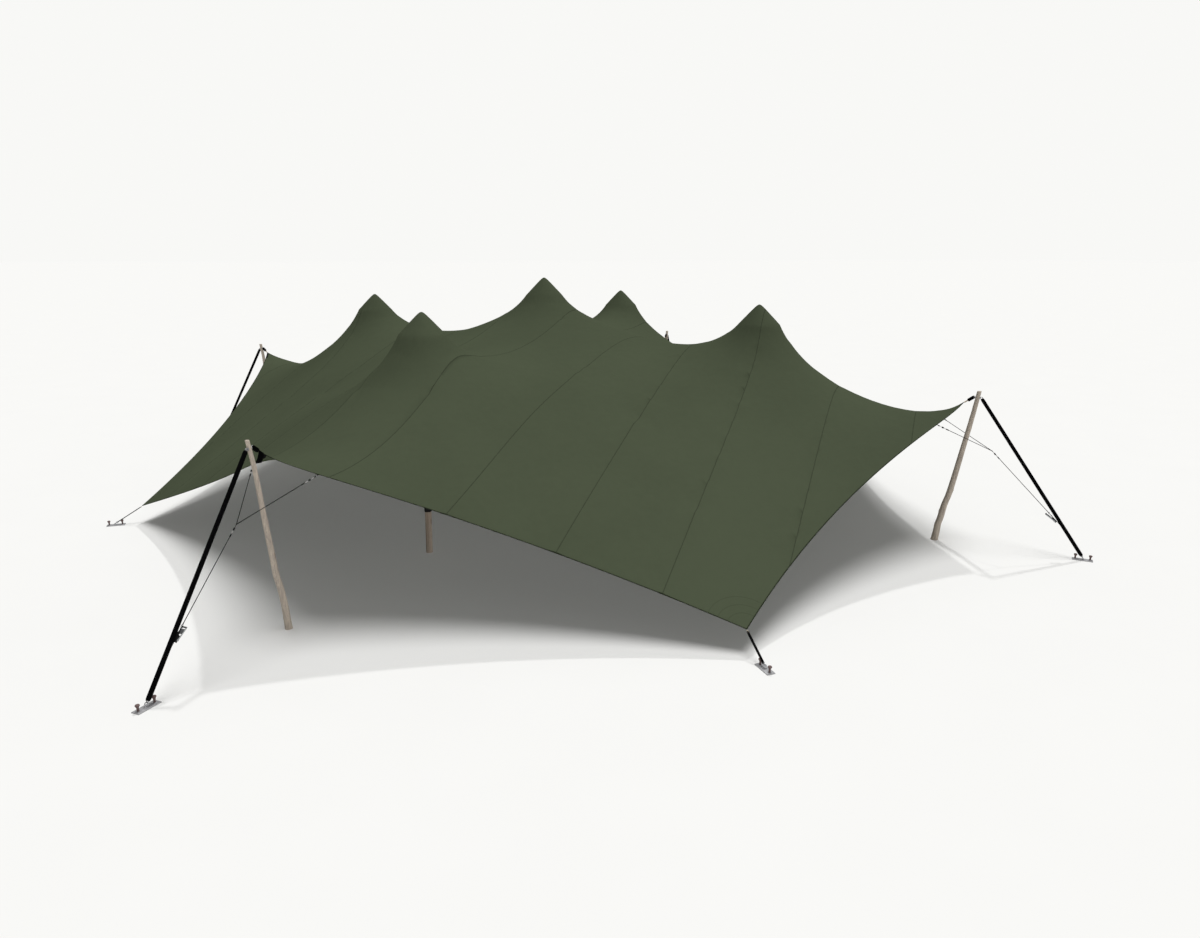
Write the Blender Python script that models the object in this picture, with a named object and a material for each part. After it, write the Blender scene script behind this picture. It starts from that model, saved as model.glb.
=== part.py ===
"""Stretch tent: a doubly curved cloth canopy on five inner poles, with four leaning side poles.

The frame has its origin on the ground under the middle of the canopy, with +Z up.
Front is -Y. The canopy's high corners stand on the side poles and the low corners
are tied down to the ground. Every length is in metres.
"""
import math

import bmesh
import bpy
import numpy as np
from mathutils import Matrix, Vector
from mathutils.geometry import delaunay_2d_cdt

GAP = 0.0003              # clearance where two pieces touch

# Canopy: where the cloth is held
HIGH_X, HIGH_Y, HIGH_Z = 5.135, 5.660, 2.285      # cloth corners at the side poles
LOW_X, LOW_Y, LOW_Z = 7.244, 8.026, 0.296         # cloth corners tied to the ground
PEAK_X, PEAK_Y, PEAK_Z = 2.860, 3.222, 3.717      # the four outer inner poles
CENTRE_Z = 4.121                                  # the middle pole
EDGE_BOW = 0.325          # how far a front or back edge curves in from the line between its corners
SIDE_BOW = 0.262          # and a left or right edge
EDGE_STEPS = 10
EDGE_CROWDING = 1.5       # the edge's points stand closer together beside the high corners
CORNER_DIP, DIP_REACH = 0.072, 0.035              # the edges drop beside the high corners
EDGE_SAG = 0.020          # the front and back edges also hang this much at mid-length
PANEL_WIDTH = 1.254       # strips of cloth between seams
PANEL_COUNT = 13
CLOTH_DROP = 0.016        # the solid's thickness, measured straight down
CONE_RADIUS = 0.36        # the stiff patch over a pole head
CONE_SLOPE = 1.08
TIP_ROUND = 0.04
CLOTH_LIFT = 0.02         # fullness of the stretched cloth, in 1/m
PEAK_RINGS = (0.05, 0.16, 0.36, 0.66, 1.02)
RING_POINTS = 12
FILL_STEP = 0.62          # spacing of the cloth's points away from the poles

# Side poles, drawn in the upright plane through the middle of the tent and the high corner
POLE_FOOT_OUT, POLE_TOP_OUT, POLE_TOP_Z = -0.270, 0.205, 2.470
POLE_FOOT_RADIUS, POLE_TOP_RADIUS = 0.050, 0.032
POLE_SIDES = 10
INNER_POLE_RADIUS = 0.050
INNER_POLE_SIDES = 12
# The rounded head of an inner pole: radius, drop below its top
POLE_HEAD = ((0.050, 0.0560), (0.045, 0.0370), (0.034, 0.0245), (0.018, 0.0118), (0.004, 0.0025))

# Each pole's bends: height share, shift outwards, shift sideways
POLE_BENDS = {
    "front_left": ((0.00, 0.004, 0.000), (0.05, 0.000, 0.003), (0.12, -0.006, 0.006),
                   (0.20, -0.015, -0.004), (0.25, -0.011, -0.010), (0.30, 0.005, -0.010),
                   (0.38, 0.010, 0.000), (0.46, 0.010, 0.004), (0.60, 0.014, 0.012),
                   (0.86, -0.016, 0.000), (1.00, 0.000, 0.000)),
    "front_right": ((0.00, -0.038, 0.000), (0.06, -0.042, 0.004), (0.11, -0.050, -0.006),
                    (0.15, -0.040, -0.008), (0.24, -0.036, 0.000), (0.31, -0.016, 0.010),
                    (0.40, -0.008, 0.012), (0.60, -0.002, 0.006), (0.86, 0.004, -0.004),
                    (1.00, 0.000, 0.000)),
    "back_right": ((0.00, 0.000, 0.000), (0.15, 0.020, 0.014), (0.34, 0.030, -0.012), (0.52, 0.002, -0.018),
                   (0.74, -0.020, 0.006), (1.00, 0.000, 0.000)),
    "back_left": ((0.00, 0.000, 0.000), (0.12, -0.012, -0.014), (0.30, 0.012, -0.022), (0.50, 0.022, 0.008),
                  (0.70, 0.004, 0.016), (0.88, -0.016, 0.006), (1.00, 0.000, 0.000)),
}

# Ground anchors
PLATE_LENGTH, PLATE_WIDTH, PLATE_THICK = 0.280, 0.105, 0.010
HIGH_ANCHOR_OUT, LOW_ANCHOR_OUT = 1.806, 0.411    # plate middle beyond the cloth corner
PEG_SPACING, PEG_RADIUS, PEG_HEAD_RADIUS, PEG_HEAD_Z = 0.200, 0.011, 0.019, 0.068
PEG_HEAD_SQUASH, PEG_LEAN = 0.7, 0.07
RING_RADIUS, RING_BAR = 0.022, 0.005              # bar middle and bar radius
RING_CENTRE_Z = 0.038
LUG_WIDTH, LUG_DEPTH = 0.022, 0.020
LINK_RADIUS, LINK_BAR = 0.013, 0.004
SUNK = 0.003              # how far one fused shape reaches into the next

# Steel eyes bolted to the side poles
GUY_EYE_Z, TIE_EYE_Z = 2.372, 2.364               # the outer and the inner one
EYE_RADIUS, EYE_BAR, EYE_REACH = 0.016, 0.0045, 0.022
SHANK_RADIUS, SHANK_START = 0.006, 0.4            # it starts inside the pole, at this share of the radius
WASHER_RADIUS, WASHER_THICK, WASHER_SEAT = 0.018, 0.004, 0.55

# Guy straps, ties and corner straps
GUY_WIDTH, GUY_THICK = 0.048, 0.046
TIE_HEIGHT, TIE_THICK = 0.048, 0.030
TIE_STRAP_SHARE = 0.62    # where the tie's webbing ends, from the pole's ring to the cloth's corner
TOGGLE_RADIUS = 0.010
TOGGLE_LAP = 0.014        # how far a toggle reaches back over its strap
LOW_STRAP_WIDTH, LOW_STRAP_THICK = 0.026, 0.008
LOW_TOGGLE_LENGTH, LOW_TOGGLE_RADIUS = 0.018, 0.006

# Bridle and ratchet, points in the pole's upright plane as (outwards, height)
BRIDLE_JOINT = (0.450, 1.545)
RATCHET_FOOT = (1.420, 0.547)
BRIDLE_SIDE_SHARE, BRIDLE_END_SHARE = 0.120, 0.105   # the clips' places along the cloth's edges
BRIDLE_INSET = 0.030
ROPE_RADIUS = 0.004
CLIP_RADIUS, FITTING_RADIUS = 0.008, 0.0064
CLIP_FROM, CLIP_TO = 0.030, 0.160                 # the fork's fittings, from the cloth along the rope
JOINT_FROM, JOINT_TO = 0.030, 0.120               # the fitting below the fork
BEAD_RADIUS = 0.006
RATCHET_LENGTH, RATCHET_DEPTH, RATCHET_WIDTH, RATCHET_WALL = 0.110, 0.028, 0.044, 0.004
CHEEK_SHARE = 0.72        # the channel's sides are this much of its length
HOOK_LENGTH, HOOK_RADIUS, HOOK_LAP = 0.073, 0.006, 0.020
TAIL_WIDTH, TAIL_THICK, TAIL_LAP = 0.026, 0.003, 0.010
SPINDLE_ALONG, SPINDLE_OUT, SPINDLE_RADIUS, SPINDLE_PROUD = 0.030, 0.016, 0.007, 0.002
LEVER_CLEAR, LEVER_THICK, ARM_WIDTH, EYE_WALL = 0.005, 0.004, 0.016, 0.006
LEVER_LENGTH, LEVER_RISE, GRIP_RADIUS = 0.150, 0.026, 0.008

HIGH_CORNERS = {"front_left": (-1, -1), "front_right": (1, -1), "back_right": (1, 1), "back_left": (-1, 1)}
LOW_CORNERS = {"front": (0, -1), "left": (-1, 0), "right": (1, 0), "back": (0, 1)}

MATERIALS = {
    "cloth": ((0.060, 0.078, 0.040), 0.85, 0.0),
    "side_wood": ((0.36, 0.29, 0.23), 0.80, 0.0),
    "inner_wood": ((0.24, 0.17, 0.12), 0.80, 0.0),
    "webbing": ((0.010, 0.010, 0.011), 0.75, 0.0),
    "steel": ((0.35, 0.35, 0.36), 0.40, 0.9),
    "ratchet": ((0.020, 0.020, 0.022), 0.45, 0.6),
    "lever": ((0.45, 0.46, 0.47), 0.35, 0.9),
    "rope": ((0.030, 0.030, 0.032), 0.80, 0.0),
}


def clear_scene():
    for item in list(bpy.data.objects):
        bpy.data.objects.remove(item, do_unlink=True)


def material(name):
    """The named finish, made once."""
    found = bpy.data.materials.get(name)
    if found:
        return found
    colour, roughness, metallic = MATERIALS[name]
    made = bpy.data.materials.new(name)
    made.use_nodes = True
    shader = made.node_tree.nodes["Principled BSDF"]
    shader.inputs["Base Color"].default_value = (*colour, 1.0)
    shader.inputs["Roughness"].default_value = roughness
    shader.inputs["Metallic"].default_value = metallic
    return made


def object_from(bm, name, finish):
    """Close the bmesh into an object with its faces pointing out."""
    bmesh.ops.recalc_face_normals(bm, faces=bm.faces)
    mesh = bpy.data.meshes.new(name)
    bm.to_mesh(mesh)
    bm.free()
    mesh.materials.append(material(finish))
    item = bpy.data.objects.new(name, mesh)
    bpy.context.scene.collection.objects.link(item)
    mesh.shade_smooth()
    mesh.set_sharp_from_angle(angle=math.radians(35))
    return item


def fuse(name, finish, shapes):
    """Join overlapping closed shapes into one body with Boolean unions."""
    base = object_from(shapes[0], name, finish)
    for number, shape in enumerate(shapes[1:]):
        tool = object_from(shape, f"{name}_join_{number}", finish)
        tool.hide_render = True
        tool.display_type = "WIRE"
        union = base.modifiers.new(f"join {number}", "BOOLEAN")
        union.operation = "UNION"
        union.solver = "EXACT"
        union.object = tool
    return base


def loft(rings, closed=False):
    """A closed body through rings of points; closed joins the last ring to the first."""
    bm = bmesh.new()
    loops = [[bm.verts.new(point) for point in ring] for ring in rings]
    sides = len(rings[0])
    pairs = list(zip(loops, loops[1:]))
    if closed:
        pairs.append((loops[-1], loops[0]))
    for lower, upper in pairs:
        for k in range(sides):
            n = (k + 1) % sides
            bm.faces.new((lower[k], lower[n], upper[n], upper[k]))
    if not closed:
        bm.faces.new(list(reversed(loops[0])))
        bm.faces.new(loops[-1])
    return bm


def circle(centre, across, up, radius, sides):
    """Points of a circle in the plane of two directions."""
    turns = [math.tau * k / sides for k in range(sides)]
    return [centre + across * (radius * math.cos(turn)) + up * (radius * math.sin(turn)) for turn in turns]


def across_and_up(along):
    """Two directions square to a bar, the first one level."""
    level = Vector((-along.y, along.x, 0.0))
    if level.length < 1e-6:
        level = Vector((1.0, 0.0, 0.0))
    level.normalize()
    return level, along.cross(level).normalized()


def bar(start, end, radius, sides=6):
    """A round bar between two points."""
    across, up = across_and_up((end - start).normalized())
    return loft([circle(point, across, up, radius, sides) for point in (start, end)])


def slab(start, end, across, width, thick):
    """A flat strip between two points, with its width along across."""
    normal = (end - start).cross(across).normalized()
    return loft([strip_ring(point, across, normal, width, thick) for point in (start, end)])


def run_to_plane(ring, along, point, normal):
    """A closed body from a ring of points straight along a direction to a plane."""
    ends = [start + along * ((point - start).dot(normal) / along.dot(normal)) for start in ring]
    return loft([ring, ends])


def strip_ring(middle, across, normal, width, thick):
    """Corners of a flat strip's cross-section."""
    return [middle + across * (width * u) + normal * (thick * v)
            for u, v in ((-0.5, -0.5), (0.5, -0.5), (0.5, 0.5), (-0.5, 0.5))]


def torus(centre, first, second, radius, bar_radius, steps=12, sides=6):
    """A closed ring in the plane of two directions."""
    axis = first.cross(second).normalized()
    rings = []
    for k in range(steps):
        turn = math.tau * k / steps
        outward = first * math.cos(turn) + second * math.sin(turn)
        rings.append(circle(centre + outward * radius, outward, axis, bar_radius, sides))
    return loft(rings, closed=True)


def ball(centre, radius, squash=1.0, segments=8, rings=5):
    """A small sphere, flattened by squash."""
    bm = bmesh.new()
    bmesh.ops.create_uvsphere(bm, u_segments=segments, v_segments=rings, radius=radius)
    place = Matrix.Translation(centre) @ Matrix.Diagonal((1, 1, squash, 1))
    bmesh.ops.transform(bm, matrix=place, verts=bm.verts)
    return bm


# Canopy

def edge_dip(low, share):
    """How far an edge hangs below the line between its corners."""
    sag = 0.0 if abs(low.x) > abs(low.y) else EDGE_SAG
    dip = CORNER_DIP * (1.0 - share) * (1.0 - math.exp(-share / DIP_REACH))
    return dip + sag * 4.0 * share * (1.0 - share)


def edge_point(high, low, share):
    """A point on the cloth's edge, share of the way from the high corner to the low one."""
    high, low = Vector(high), Vector(low)
    chord = (low - high).xy
    inward = Vector((-chord.y, chord.x)).normalized()
    if inward.dot((high + low).xy) > 0:
        inward.negate()
    bow = (SIDE_BOW if abs(low.x) > abs(low.y) else EDGE_BOW) * 4.0 * share * (1.0 - share)
    point = high.lerp(low, share)
    return Vector((point.x + inward.x * bow, point.y + inward.y * bow, point.z - edge_dip(low, share)))


def high_point(sign):
    return Vector((sign[0] * HIGH_X, sign[1] * HIGH_Y, HIGH_Z))


def low_point(sign):
    return Vector((sign[0] * LOW_X, sign[1] * LOW_Y, LOW_Z))


def outline_points():
    """The cloth's edge, anticlockwise from the right low corner."""
    points = []
    order = (((1, 0), (1, 1)), ((0, 1), (1, 1)), ((0, 1), (-1, 1)), ((-1, 0), (-1, 1)),
             ((-1, 0), (-1, -1)), ((0, -1), (-1, -1)), ((0, -1), (1, -1)), ((1, 0), (1, -1)))
    for number, (low, high) in enumerate(order):
        steps = range(EDGE_STEPS, 0, -1) if number % 2 == 0 else range(EDGE_STEPS)
        shares = [(k / EDGE_STEPS) ** EDGE_CROWDING for k in steps]
        points += [edge_point(high_point(high), low_point(low), share) for share in shares]
    return points


SEAM_ALONG = Vector((LOW_X, LOW_Y)).normalized()           # seams run this way in plan
SEAM_ACROSS = Vector((SEAM_ALONG.y, -SEAM_ALONG.x))
SEAMS = [PANEL_WIDTH * (k - (PANEL_COUNT - 2) / 2) for k in range(PANEL_COUNT - 1)]
PEAKS = [(Vector((0.0, 0.0)), CENTRE_Z)] + [
    (Vector((sx * PEAK_X, sy * PEAK_Y)), PEAK_Z) for sx in (-1, 1) for sy in (-1, 1)]


def seam_span(offset, outline):
    """Where the seam at this offset crosses the cloth's edge, as two places along it."""
    found = []
    for a, b in zip(outline, outline[1:] + outline[:1]):
        from_a, from_b = a.xy.dot(SEAM_ACROSS) - offset, b.xy.dot(SEAM_ACROSS) - offset
        if from_a * from_b < 0:
            found.append(a.xy.lerp(b.xy, from_a / (from_a - from_b)).dot(SEAM_ALONG))
    return min(found), max(found)


def line_places(offset, outline, on_seam):
    """Places of the cloth's points on a line parallel to the seams, finer near the poles."""
    low, high = seam_span(offset, outline)
    extra = []
    for centre, _ in PEAKS:
        away = abs(centre.dot(SEAM_ACROSS) - offset)
        middle = centre.dot(SEAM_ALONG)
        if on_seam and away < PEAK_RINGS[-1]:
            extra.append(middle)
            for radius in PEAK_RINGS:
                if radius > away:
                    reach = math.sqrt(radius * radius - away * away)
                    extra += [middle - reach, middle + reach]
    steps = max(2, round((high - low) / FILL_STEP))
    places = []
    for k in range(1, steps):
        place = low + (high - low) * k / steps
        point = SEAM_ACROSS * offset + SEAM_ALONG * place
        if all((point - centre).length > PEAK_RINGS[-1] + 0.2 for centre, _ in PEAKS):
            places.append(place)
    ends = [low, high] if on_seam else []
    return sorted(set(ends + places + extra))


def cloth_plan():
    """Triangles of the whole canopy in plan, split along its edge and seams."""
    outline = outline_points()
    points = [point.xy for point in outline]
    edges = [(k, (k + 1) % len(points)) for k in range(len(points))]
    for offset in SEAMS:
        first = len(points)
        places = line_places(offset, outline, True)
        points += [SEAM_ACROSS * offset + SEAM_ALONG * place for place in places]
        edges += [(k, k + 1) for k in range(first, len(points) - 1)]
    offsets = [(a + b) / 2 for a, b in zip(SEAMS, SEAMS[1:])]
    for offset in offsets:
        points += [SEAM_ACROSS * offset + SEAM_ALONG * place for place in line_places(offset, outline, False)]
    for centre, _ in PEAKS:
        points.append(centre)
        for number, radius in enumerate(PEAK_RINGS):
            for k in range(RING_POINTS):
                turn = math.tau * (k + 0.5 * (number % 2)) / RING_POINTS
                point = centre + Vector((math.cos(turn), math.sin(turn))) * radius
                if all(abs(point.dot(SEAM_ACROSS) - offset) > 0.18 * radius for offset in SEAMS):
                    points.append(point)
    verts, _, faces, *_ = delaunay_2d_cdt(points, edges, [], 1, 1e-5)
    return verts, faces, outline


def inside(point, outline):
    odd = False
    for a, b in zip(outline, outline[1:] + outline[:1]):
        if (a.y > point.y) != (b.y > point.y):
            if point.x < a.x + (b.x - a.x) * (point.y - a.y) / (b.y - a.y):
                odd = not odd
    return odd


def edge_height(point, outline):
    """Height of the cloth's edge at a point that lies on it, or nothing inside it."""
    for a, b in zip(outline, outline[1:] + outline[:1]):
        side = (b - a).xy
        share = max(0.0, min(1.0, (point - a.xy).dot(side) / side.length_squared))
        if (a.xy.lerp(b.xy, share) - point).length < 1e-4:
            return a.z + (b.z - a.z) * share
    return None


def cone_height(point):
    """Height of the stiff patch over a pole head, or nothing away from the poles."""
    for centre, top in PEAKS:
        away = (point - centre).length
        if away < CONE_RADIUS + 1e-3:
            return top - CONE_SLOPE * (math.hypot(away, TIP_ROUND) - TIP_ROUND)
    return None


def cloth_heights(verts, faces, outline):
    """Heights of a stretched membrane held at its edge and over the pole heads."""
    plan = np.array([[v.x, v.y] for v in verts])
    count = len(plan)
    stiffness = np.zeros((count, count))
    load = np.zeros(count)
    for face in faces:
        corners = plan[list(face)]
        area = 0.5 * abs(np.cross(corners[1] - corners[0], corners[2] - corners[0]))
        for k in range(3):
            i, j, opposite = face[k], face[(k + 1) % 3], plan[face[(k + 2) % 3]]
            u, v = plan[i] - opposite, plan[j] - opposite
            weight = 0.5 * np.dot(u, v) / max(abs(np.cross(u, v)), 1e-9)
            stiffness[i, j] -= weight
            stiffness[j, i] -= weight
            stiffness[i, i] += weight
            stiffness[j, j] += weight
            load[i] += CLOTH_LIFT * area / 3.0
    heights = np.zeros(count)
    held = np.zeros(count, bool)
    for k, vert in enumerate(verts):
        height = edge_height(vert, outline)
        if height is None:
            height = cone_height(vert)
        if height is not None:
            heights[k], held[k] = height, True
    free = ~held
    heights[free] = np.linalg.solve(stiffness[np.ix_(free, free)],
                                    load[free] - stiffness[np.ix_(free, held)] @ heights[held])
    return heights


def make_cloth():
    """The canopy's thirteen panels, sewn edge to edge; returns its triangles with heights."""
    verts, faces, outline = cloth_plan()
    middles = [sum((verts[k] for k in face), Vector((0.0, 0.0))) / 3.0 for face in faces]
    kept = [(face, middle) for face, middle in zip(faces, middles) if inside(middle, outline)]
    used = sorted({k for face, _ in kept for k in face})
    index = {k: n for n, k in enumerate(used)}
    verts = [verts[k] for k in used]
    faces = [tuple(index[k] for k in face) for face, _ in kept]
    heights = cloth_heights(verts, faces, outline)
    across = [middle.dot(SEAM_ACROSS) for _, middle in kept]
    limits = [-1e3] + SEAMS + [1e3]
    for number in range(PANEL_COUNT):
        low, high = limits[number], limits[number + 1]
        members = [face for face, place in zip(faces, across) if low < place < high]
        cloth_panel(f"canopy_panel_{number + 1:02d}", verts, heights, members, low, high)
    return verts, heights, faces


def cloth_panel(name, verts, heights, members, low, high):
    """One strip of cloth, with the seam's small gap taken off its two long sides."""
    bm = bmesh.new()
    top, under = {}, {}
    for k in sorted({k for face in members for k in face}):
        place = verts[k].dot(SEAM_ACROSS)
        shift = GAP / 2 if abs(place - low) < 1e-4 else -GAP / 2 if abs(place - high) < 1e-4 else 0.0
        point = verts[k] + SEAM_ACROSS * shift
        top[k] = bm.verts.new((point.x, point.y, heights[k]))
        under[k] = bm.verts.new((point.x, point.y, heights[k] - CLOTH_DROP))
    sides = {}
    for face in members:
        a, b, c = face
        if (verts[b] - verts[a]).cross(verts[c] - verts[a]) < 0:
            face = (a, c, b)
        bm.faces.new([top[k] for k in face])
        bm.faces.new([under[k] for k in reversed(face)])
        for i, j in zip(face, face[1:] + face[:1]):
            sides[(i, j)] = (j, i) not in sides
            if not sides[(i, j)]:
                sides[(j, i)] = False
    for (i, j), open_side in sides.items():
        if open_side:
            bm.faces.new((top[j], top[i], under[i], under[j]))
    return object_from(bm, name, "cloth")


def cloth_under(cloth, point):
    """The cloth's underside at a plan point, with the surface's upward direction there."""
    verts, heights, faces = cloth
    for face in faces:
        corners = [Vector((verts[k].x, verts[k].y, heights[k])) for k in face]
        a, b, c = corners
        whole = (b - a).xy.cross((c - a).xy)
        share_b = (point - a.xy).cross((c - a).xy) / whole
        share_c = (b - a).xy.cross(point - a.xy) / whole
        if min(share_b, share_c, 1.0 - share_b - share_c) > -1e-6:
            normal = (b - a).cross(c - a).normalized()
            if normal.z < 0:
                normal.negate()
            height = a.z + share_b * (b.z - a.z) + share_c * (c.z - a.z) - CLOTH_DROP
            return Vector((point.x, point.y, height)), normal
    raise ValueError("no cloth over this point")


# Poles

def corner_frame(sign):
    """A high corner's foot point on the ground, its outward and its sideways direction."""
    outward = Vector((sign[0] * HIGH_X, sign[1] * HIGH_Y, 0.0)).normalized()
    sideways = Vector((-outward.y, outward.x, 0.0))
    return Vector((sign[0] * HIGH_X, sign[1] * HIGH_Y, 0.0)), outward, sideways


def pole_section(name, height):
    """Middle and radius of a side pole at a height."""
    share = height / POLE_TOP_Z
    bends = POLE_BENDS[name]
    shares = [bend[0] for bend in bends]
    out = float(np.interp(share, shares, [bend[1] for bend in bends]))
    aside = float(np.interp(share, shares, [bend[2] for bend in bends]))
    foot, outward, sideways = corner_frame(HIGH_CORNERS[name])
    lean = POLE_FOOT_OUT + (POLE_TOP_OUT - POLE_FOOT_OUT) * share
    middle = foot + outward * (lean + out) + sideways * aside + Vector((0.0, 0.0, height))
    return middle, POLE_FOOT_RADIUS + (POLE_TOP_RADIUS - POLE_FOOT_RADIUS) * share


def pole_ring(name, height):
    middle, radius = pole_section(name, height)
    _, outward, sideways = corner_frame(HIGH_CORNERS[name])
    return circle(middle, outward, sideways, radius, POLE_SIDES)


def square_to_pole(name, height):
    """The outward direction square to a leaning pole."""
    _, outward, _ = corner_frame(HIGH_CORNERS[name])
    along = (pole_section(name, height + 0.05)[0] - pole_section(name, height - 0.05)[0]).normalized()
    return (outward - along * outward.dot(along)).normalized()


def eye_middle(name, height, side):
    """Middle of the ring bolted to a side pole's outer (1) or inner (-1) side."""
    middle, radius = pole_section(name, height)
    return middle + square_to_pole(name, height) * (side * (radius + EYE_REACH))


def eye_shapes(name, height, side, pull):
    """A steel eye bolt on a side pole, its ring turned to the strap's pull."""
    middle, radius = pole_section(name, height)
    centre = eye_middle(name, height, side)
    off = square_to_pole(name, height) * side
    _, _, sideways = corner_frame(HIGH_CORNERS[name])
    seat, face = middle + off * (radius * WASHER_SEAT), middle + off * (radius + WASHER_THICK)
    washer = bar(seat, face, WASHER_RADIUS, 12)
    shank_start = middle + off * (radius * SHANK_START)
    shank = bar(shank_start, centre - off * (EYE_RADIUS - EYE_BAR / 2), SHANK_RADIUS)
    return [washer, shank, torus(centre, pull.cross(sideways).normalized(), pull, EYE_RADIUS, EYE_BAR)]


def make_side_pole(name):
    """A leaning pole with the two eyes that hold its guy strap and the cloth's corner."""
    rings = [pole_ring(name, share * POLE_TOP_Z) for share, _, _ in POLE_BENDS[name]]
    _, _, guy_up = guy_ends(name)
    _, _, to_corner = tie_ends(name)
    fuse(f"side_pole_{name}", "side_wood", [loft(rings)] + eye_shapes(name, GUY_EYE_Z, 1, -guy_up)
         + eye_shapes(name, TIE_EYE_Z, -1, to_corner))


def make_inner_pole(name, centre, top):
    """An upright pole with a rounded head just under the cloth."""
    head = top - CLOTH_DROP - GAP
    profile = [(INNER_POLE_RADIUS, 0.0)] + [(radius, head - drop) for radius, drop in POLE_HEAD]
    first, second = Vector((1.0, 0.0, 0.0)), Vector((0.0, 1.0, 0.0))
    rings = [circle(Vector((centre.x, centre.y, height)), first, second, radius, INNER_POLE_SIDES)
             for radius, height in profile]
    return object_from(loft(rings), name, "inner_wood")


# Anchors and straps

def ring_shapes(anchor, sideways, pull):
    """The anchor's ring on its lug, leaning along the strap's pull."""
    centre = ring_centre(anchor)
    ring = torus(centre, sideways, pull, RING_RADIUS, RING_BAR)
    foot = centre - pull * RING_RADIUS
    lug_base = Vector((foot.x, foot.y, PLATE_THICK - SUNK))
    lug = slab(lug_base, foot + Vector((0.0, 0.0, SUNK)), sideways, LUG_WIDTH, LUG_DEPTH)
    return [lug, ring]


def make_anchor(name, middle, outward, pull):
    """A steel plate on the ground with two driven pegs and a ring."""
    sideways = Vector((-outward.y, outward.x, 0.0))
    half = outward * (PLATE_LENGTH / 2)
    low = Vector((0.0, 0.0, PLATE_THICK / 2))
    shapes = [slab(middle - half + low, middle + half + low, sideways, PLATE_WIDTH, PLATE_THICK)]
    for side in (-1, 1):
        foot = middle + outward * (side * PEG_SPACING / 2) + Vector((0.0, 0.0, SUNK))
        head = foot + Vector((0.0, 0.0, PEG_HEAD_Z)) + outward * (PEG_LEAN * PEG_HEAD_Z)
        shapes += [bar(foot, head, PEG_RADIUS), ball(head, PEG_HEAD_RADIUS, PEG_HEAD_SQUASH)]
    return fuse(f"anchor_{name}", "steel", shapes + ring_shapes(middle, sideways, pull))


def ring_centre(anchor):
    """Middle of the ring on an anchor's plate."""
    return anchor + Vector((0.0, 0.0, RING_CENTRE_Z))


def link_shape(centre, hole, across, pull):
    """The small link through a ring with this clear radius, and the point where its strap starts."""
    middle = centre + pull * (hole - LINK_BAR - GAP + LINK_RADIUS)
    return torus(middle, across, pull, LINK_RADIUS, LINK_BAR), middle + pull * LINK_RADIUS


def guy_ends(name):
    """Middle of the pole's outer ring, the anchor's middle and the direction up between them."""
    foot, outward, _ = corner_frame(HIGH_CORNERS[name])
    top = eye_middle(name, GUY_EYE_Z, 1)
    anchor = foot + outward * HIGH_ANCHOR_OUT
    return top, anchor, (top - ring_centre(anchor)).normalized()


def tie_ends(name):
    """Middle of the pole's inner ring, the cloth's corner and the direction to it."""
    top = eye_middle(name, TIE_EYE_Z, -1)
    corner = high_point(HIGH_CORNERS[name]) - Vector((0.0, 0.0, CLOTH_DROP / 2))
    return top, corner, (corner - top).normalized()


def make_guy(name):
    """The guy strap from the pole's outer ring down to the anchor's ring."""
    _, outward, sideways = corner_frame(HIGH_CORNERS[name])
    top, anchor, pull = guy_ends(name)
    upper, end = link_shape(top, EYE_RADIUS - EYE_BAR, sideways, -pull)
    side = pull.cross(sideways).normalized()
    lower, start = link_shape(ring_centre(anchor), RING_RADIUS - RING_BAR, side, pull)
    strap = slab(start - pull * SUNK, end + pull * SUNK, sideways, GUY_WIDTH, GUY_THICK)
    fuse(f"guy_strap_{name}", "webbing", [strap, upper, lower])
    make_anchor(name, anchor, outward, pull)


def make_tie(name):
    """Link and webbing on the pole's inner ring, and the toggle that holds the cloth's corner."""
    _, outward, sideways = corner_frame(HIGH_CORNERS[name])
    top, corner, along = tie_ends(name)
    link, start = link_shape(top, EYE_RADIUS - EYE_BAR, sideways, along)
    bend = top.lerp(corner, TIE_STRAP_SHARE)
    strap = slab(start - along * SUNK, bend, sideways, TIE_THICK, TIE_HEIGHT)
    across, up = across_and_up(along)
    toggle = run_to_plane(circle(bend - along * TOGGLE_LAP, across, up, TOGGLE_RADIUS, 6), along,
                          high_point(HIGH_CORNERS[name]) + outward * GAP, outward)
    fuse(f"corner_tie_{name}", "webbing", [strap, link, toggle])


def make_low_corner(name):
    """A low corner's anchor, and the short strap and toggle up to the cloth."""
    sign = LOW_CORNERS[name]
    outward = Vector((sign[0], sign[1], 0.0))
    sideways = Vector((-outward.y, outward.x, 0.0))
    corner = low_point(sign) - Vector((0.0, 0.0, CLOTH_DROP / 2))
    anchor = Vector((corner.x, corner.y, 0.0)) + outward * LOW_ANCHOR_OUT
    pull = (corner - ring_centre(anchor)).normalized()
    side = pull.cross(sideways).normalized()
    link, start = link_shape(ring_centre(anchor), RING_RADIUS - RING_BAR, side, pull)
    bend = corner - pull * LOW_TOGGLE_LENGTH
    strap = slab(start - pull * SUNK, bend, sideways, LOW_STRAP_WIDTH, LOW_STRAP_THICK)
    across, up = across_and_up(pull)
    toggle = run_to_plane(circle(bend - pull * TOGGLE_LAP, across, up, LOW_TOGGLE_RADIUS, 6), pull,
                          low_point(sign) + outward * GAP, outward)
    fuse(f"corner_strap_{name}", "webbing", [strap, link, toggle])
    make_anchor(name, anchor, outward, pull)


# Bridles and ratchets

def plane_point(name, place):
    """A point in a high corner's upright plane."""
    foot, outward, _ = corner_frame(HIGH_CORNERS[name])
    return foot + outward * place[0] + Vector((0.0, 0.0, place[1]))


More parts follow.
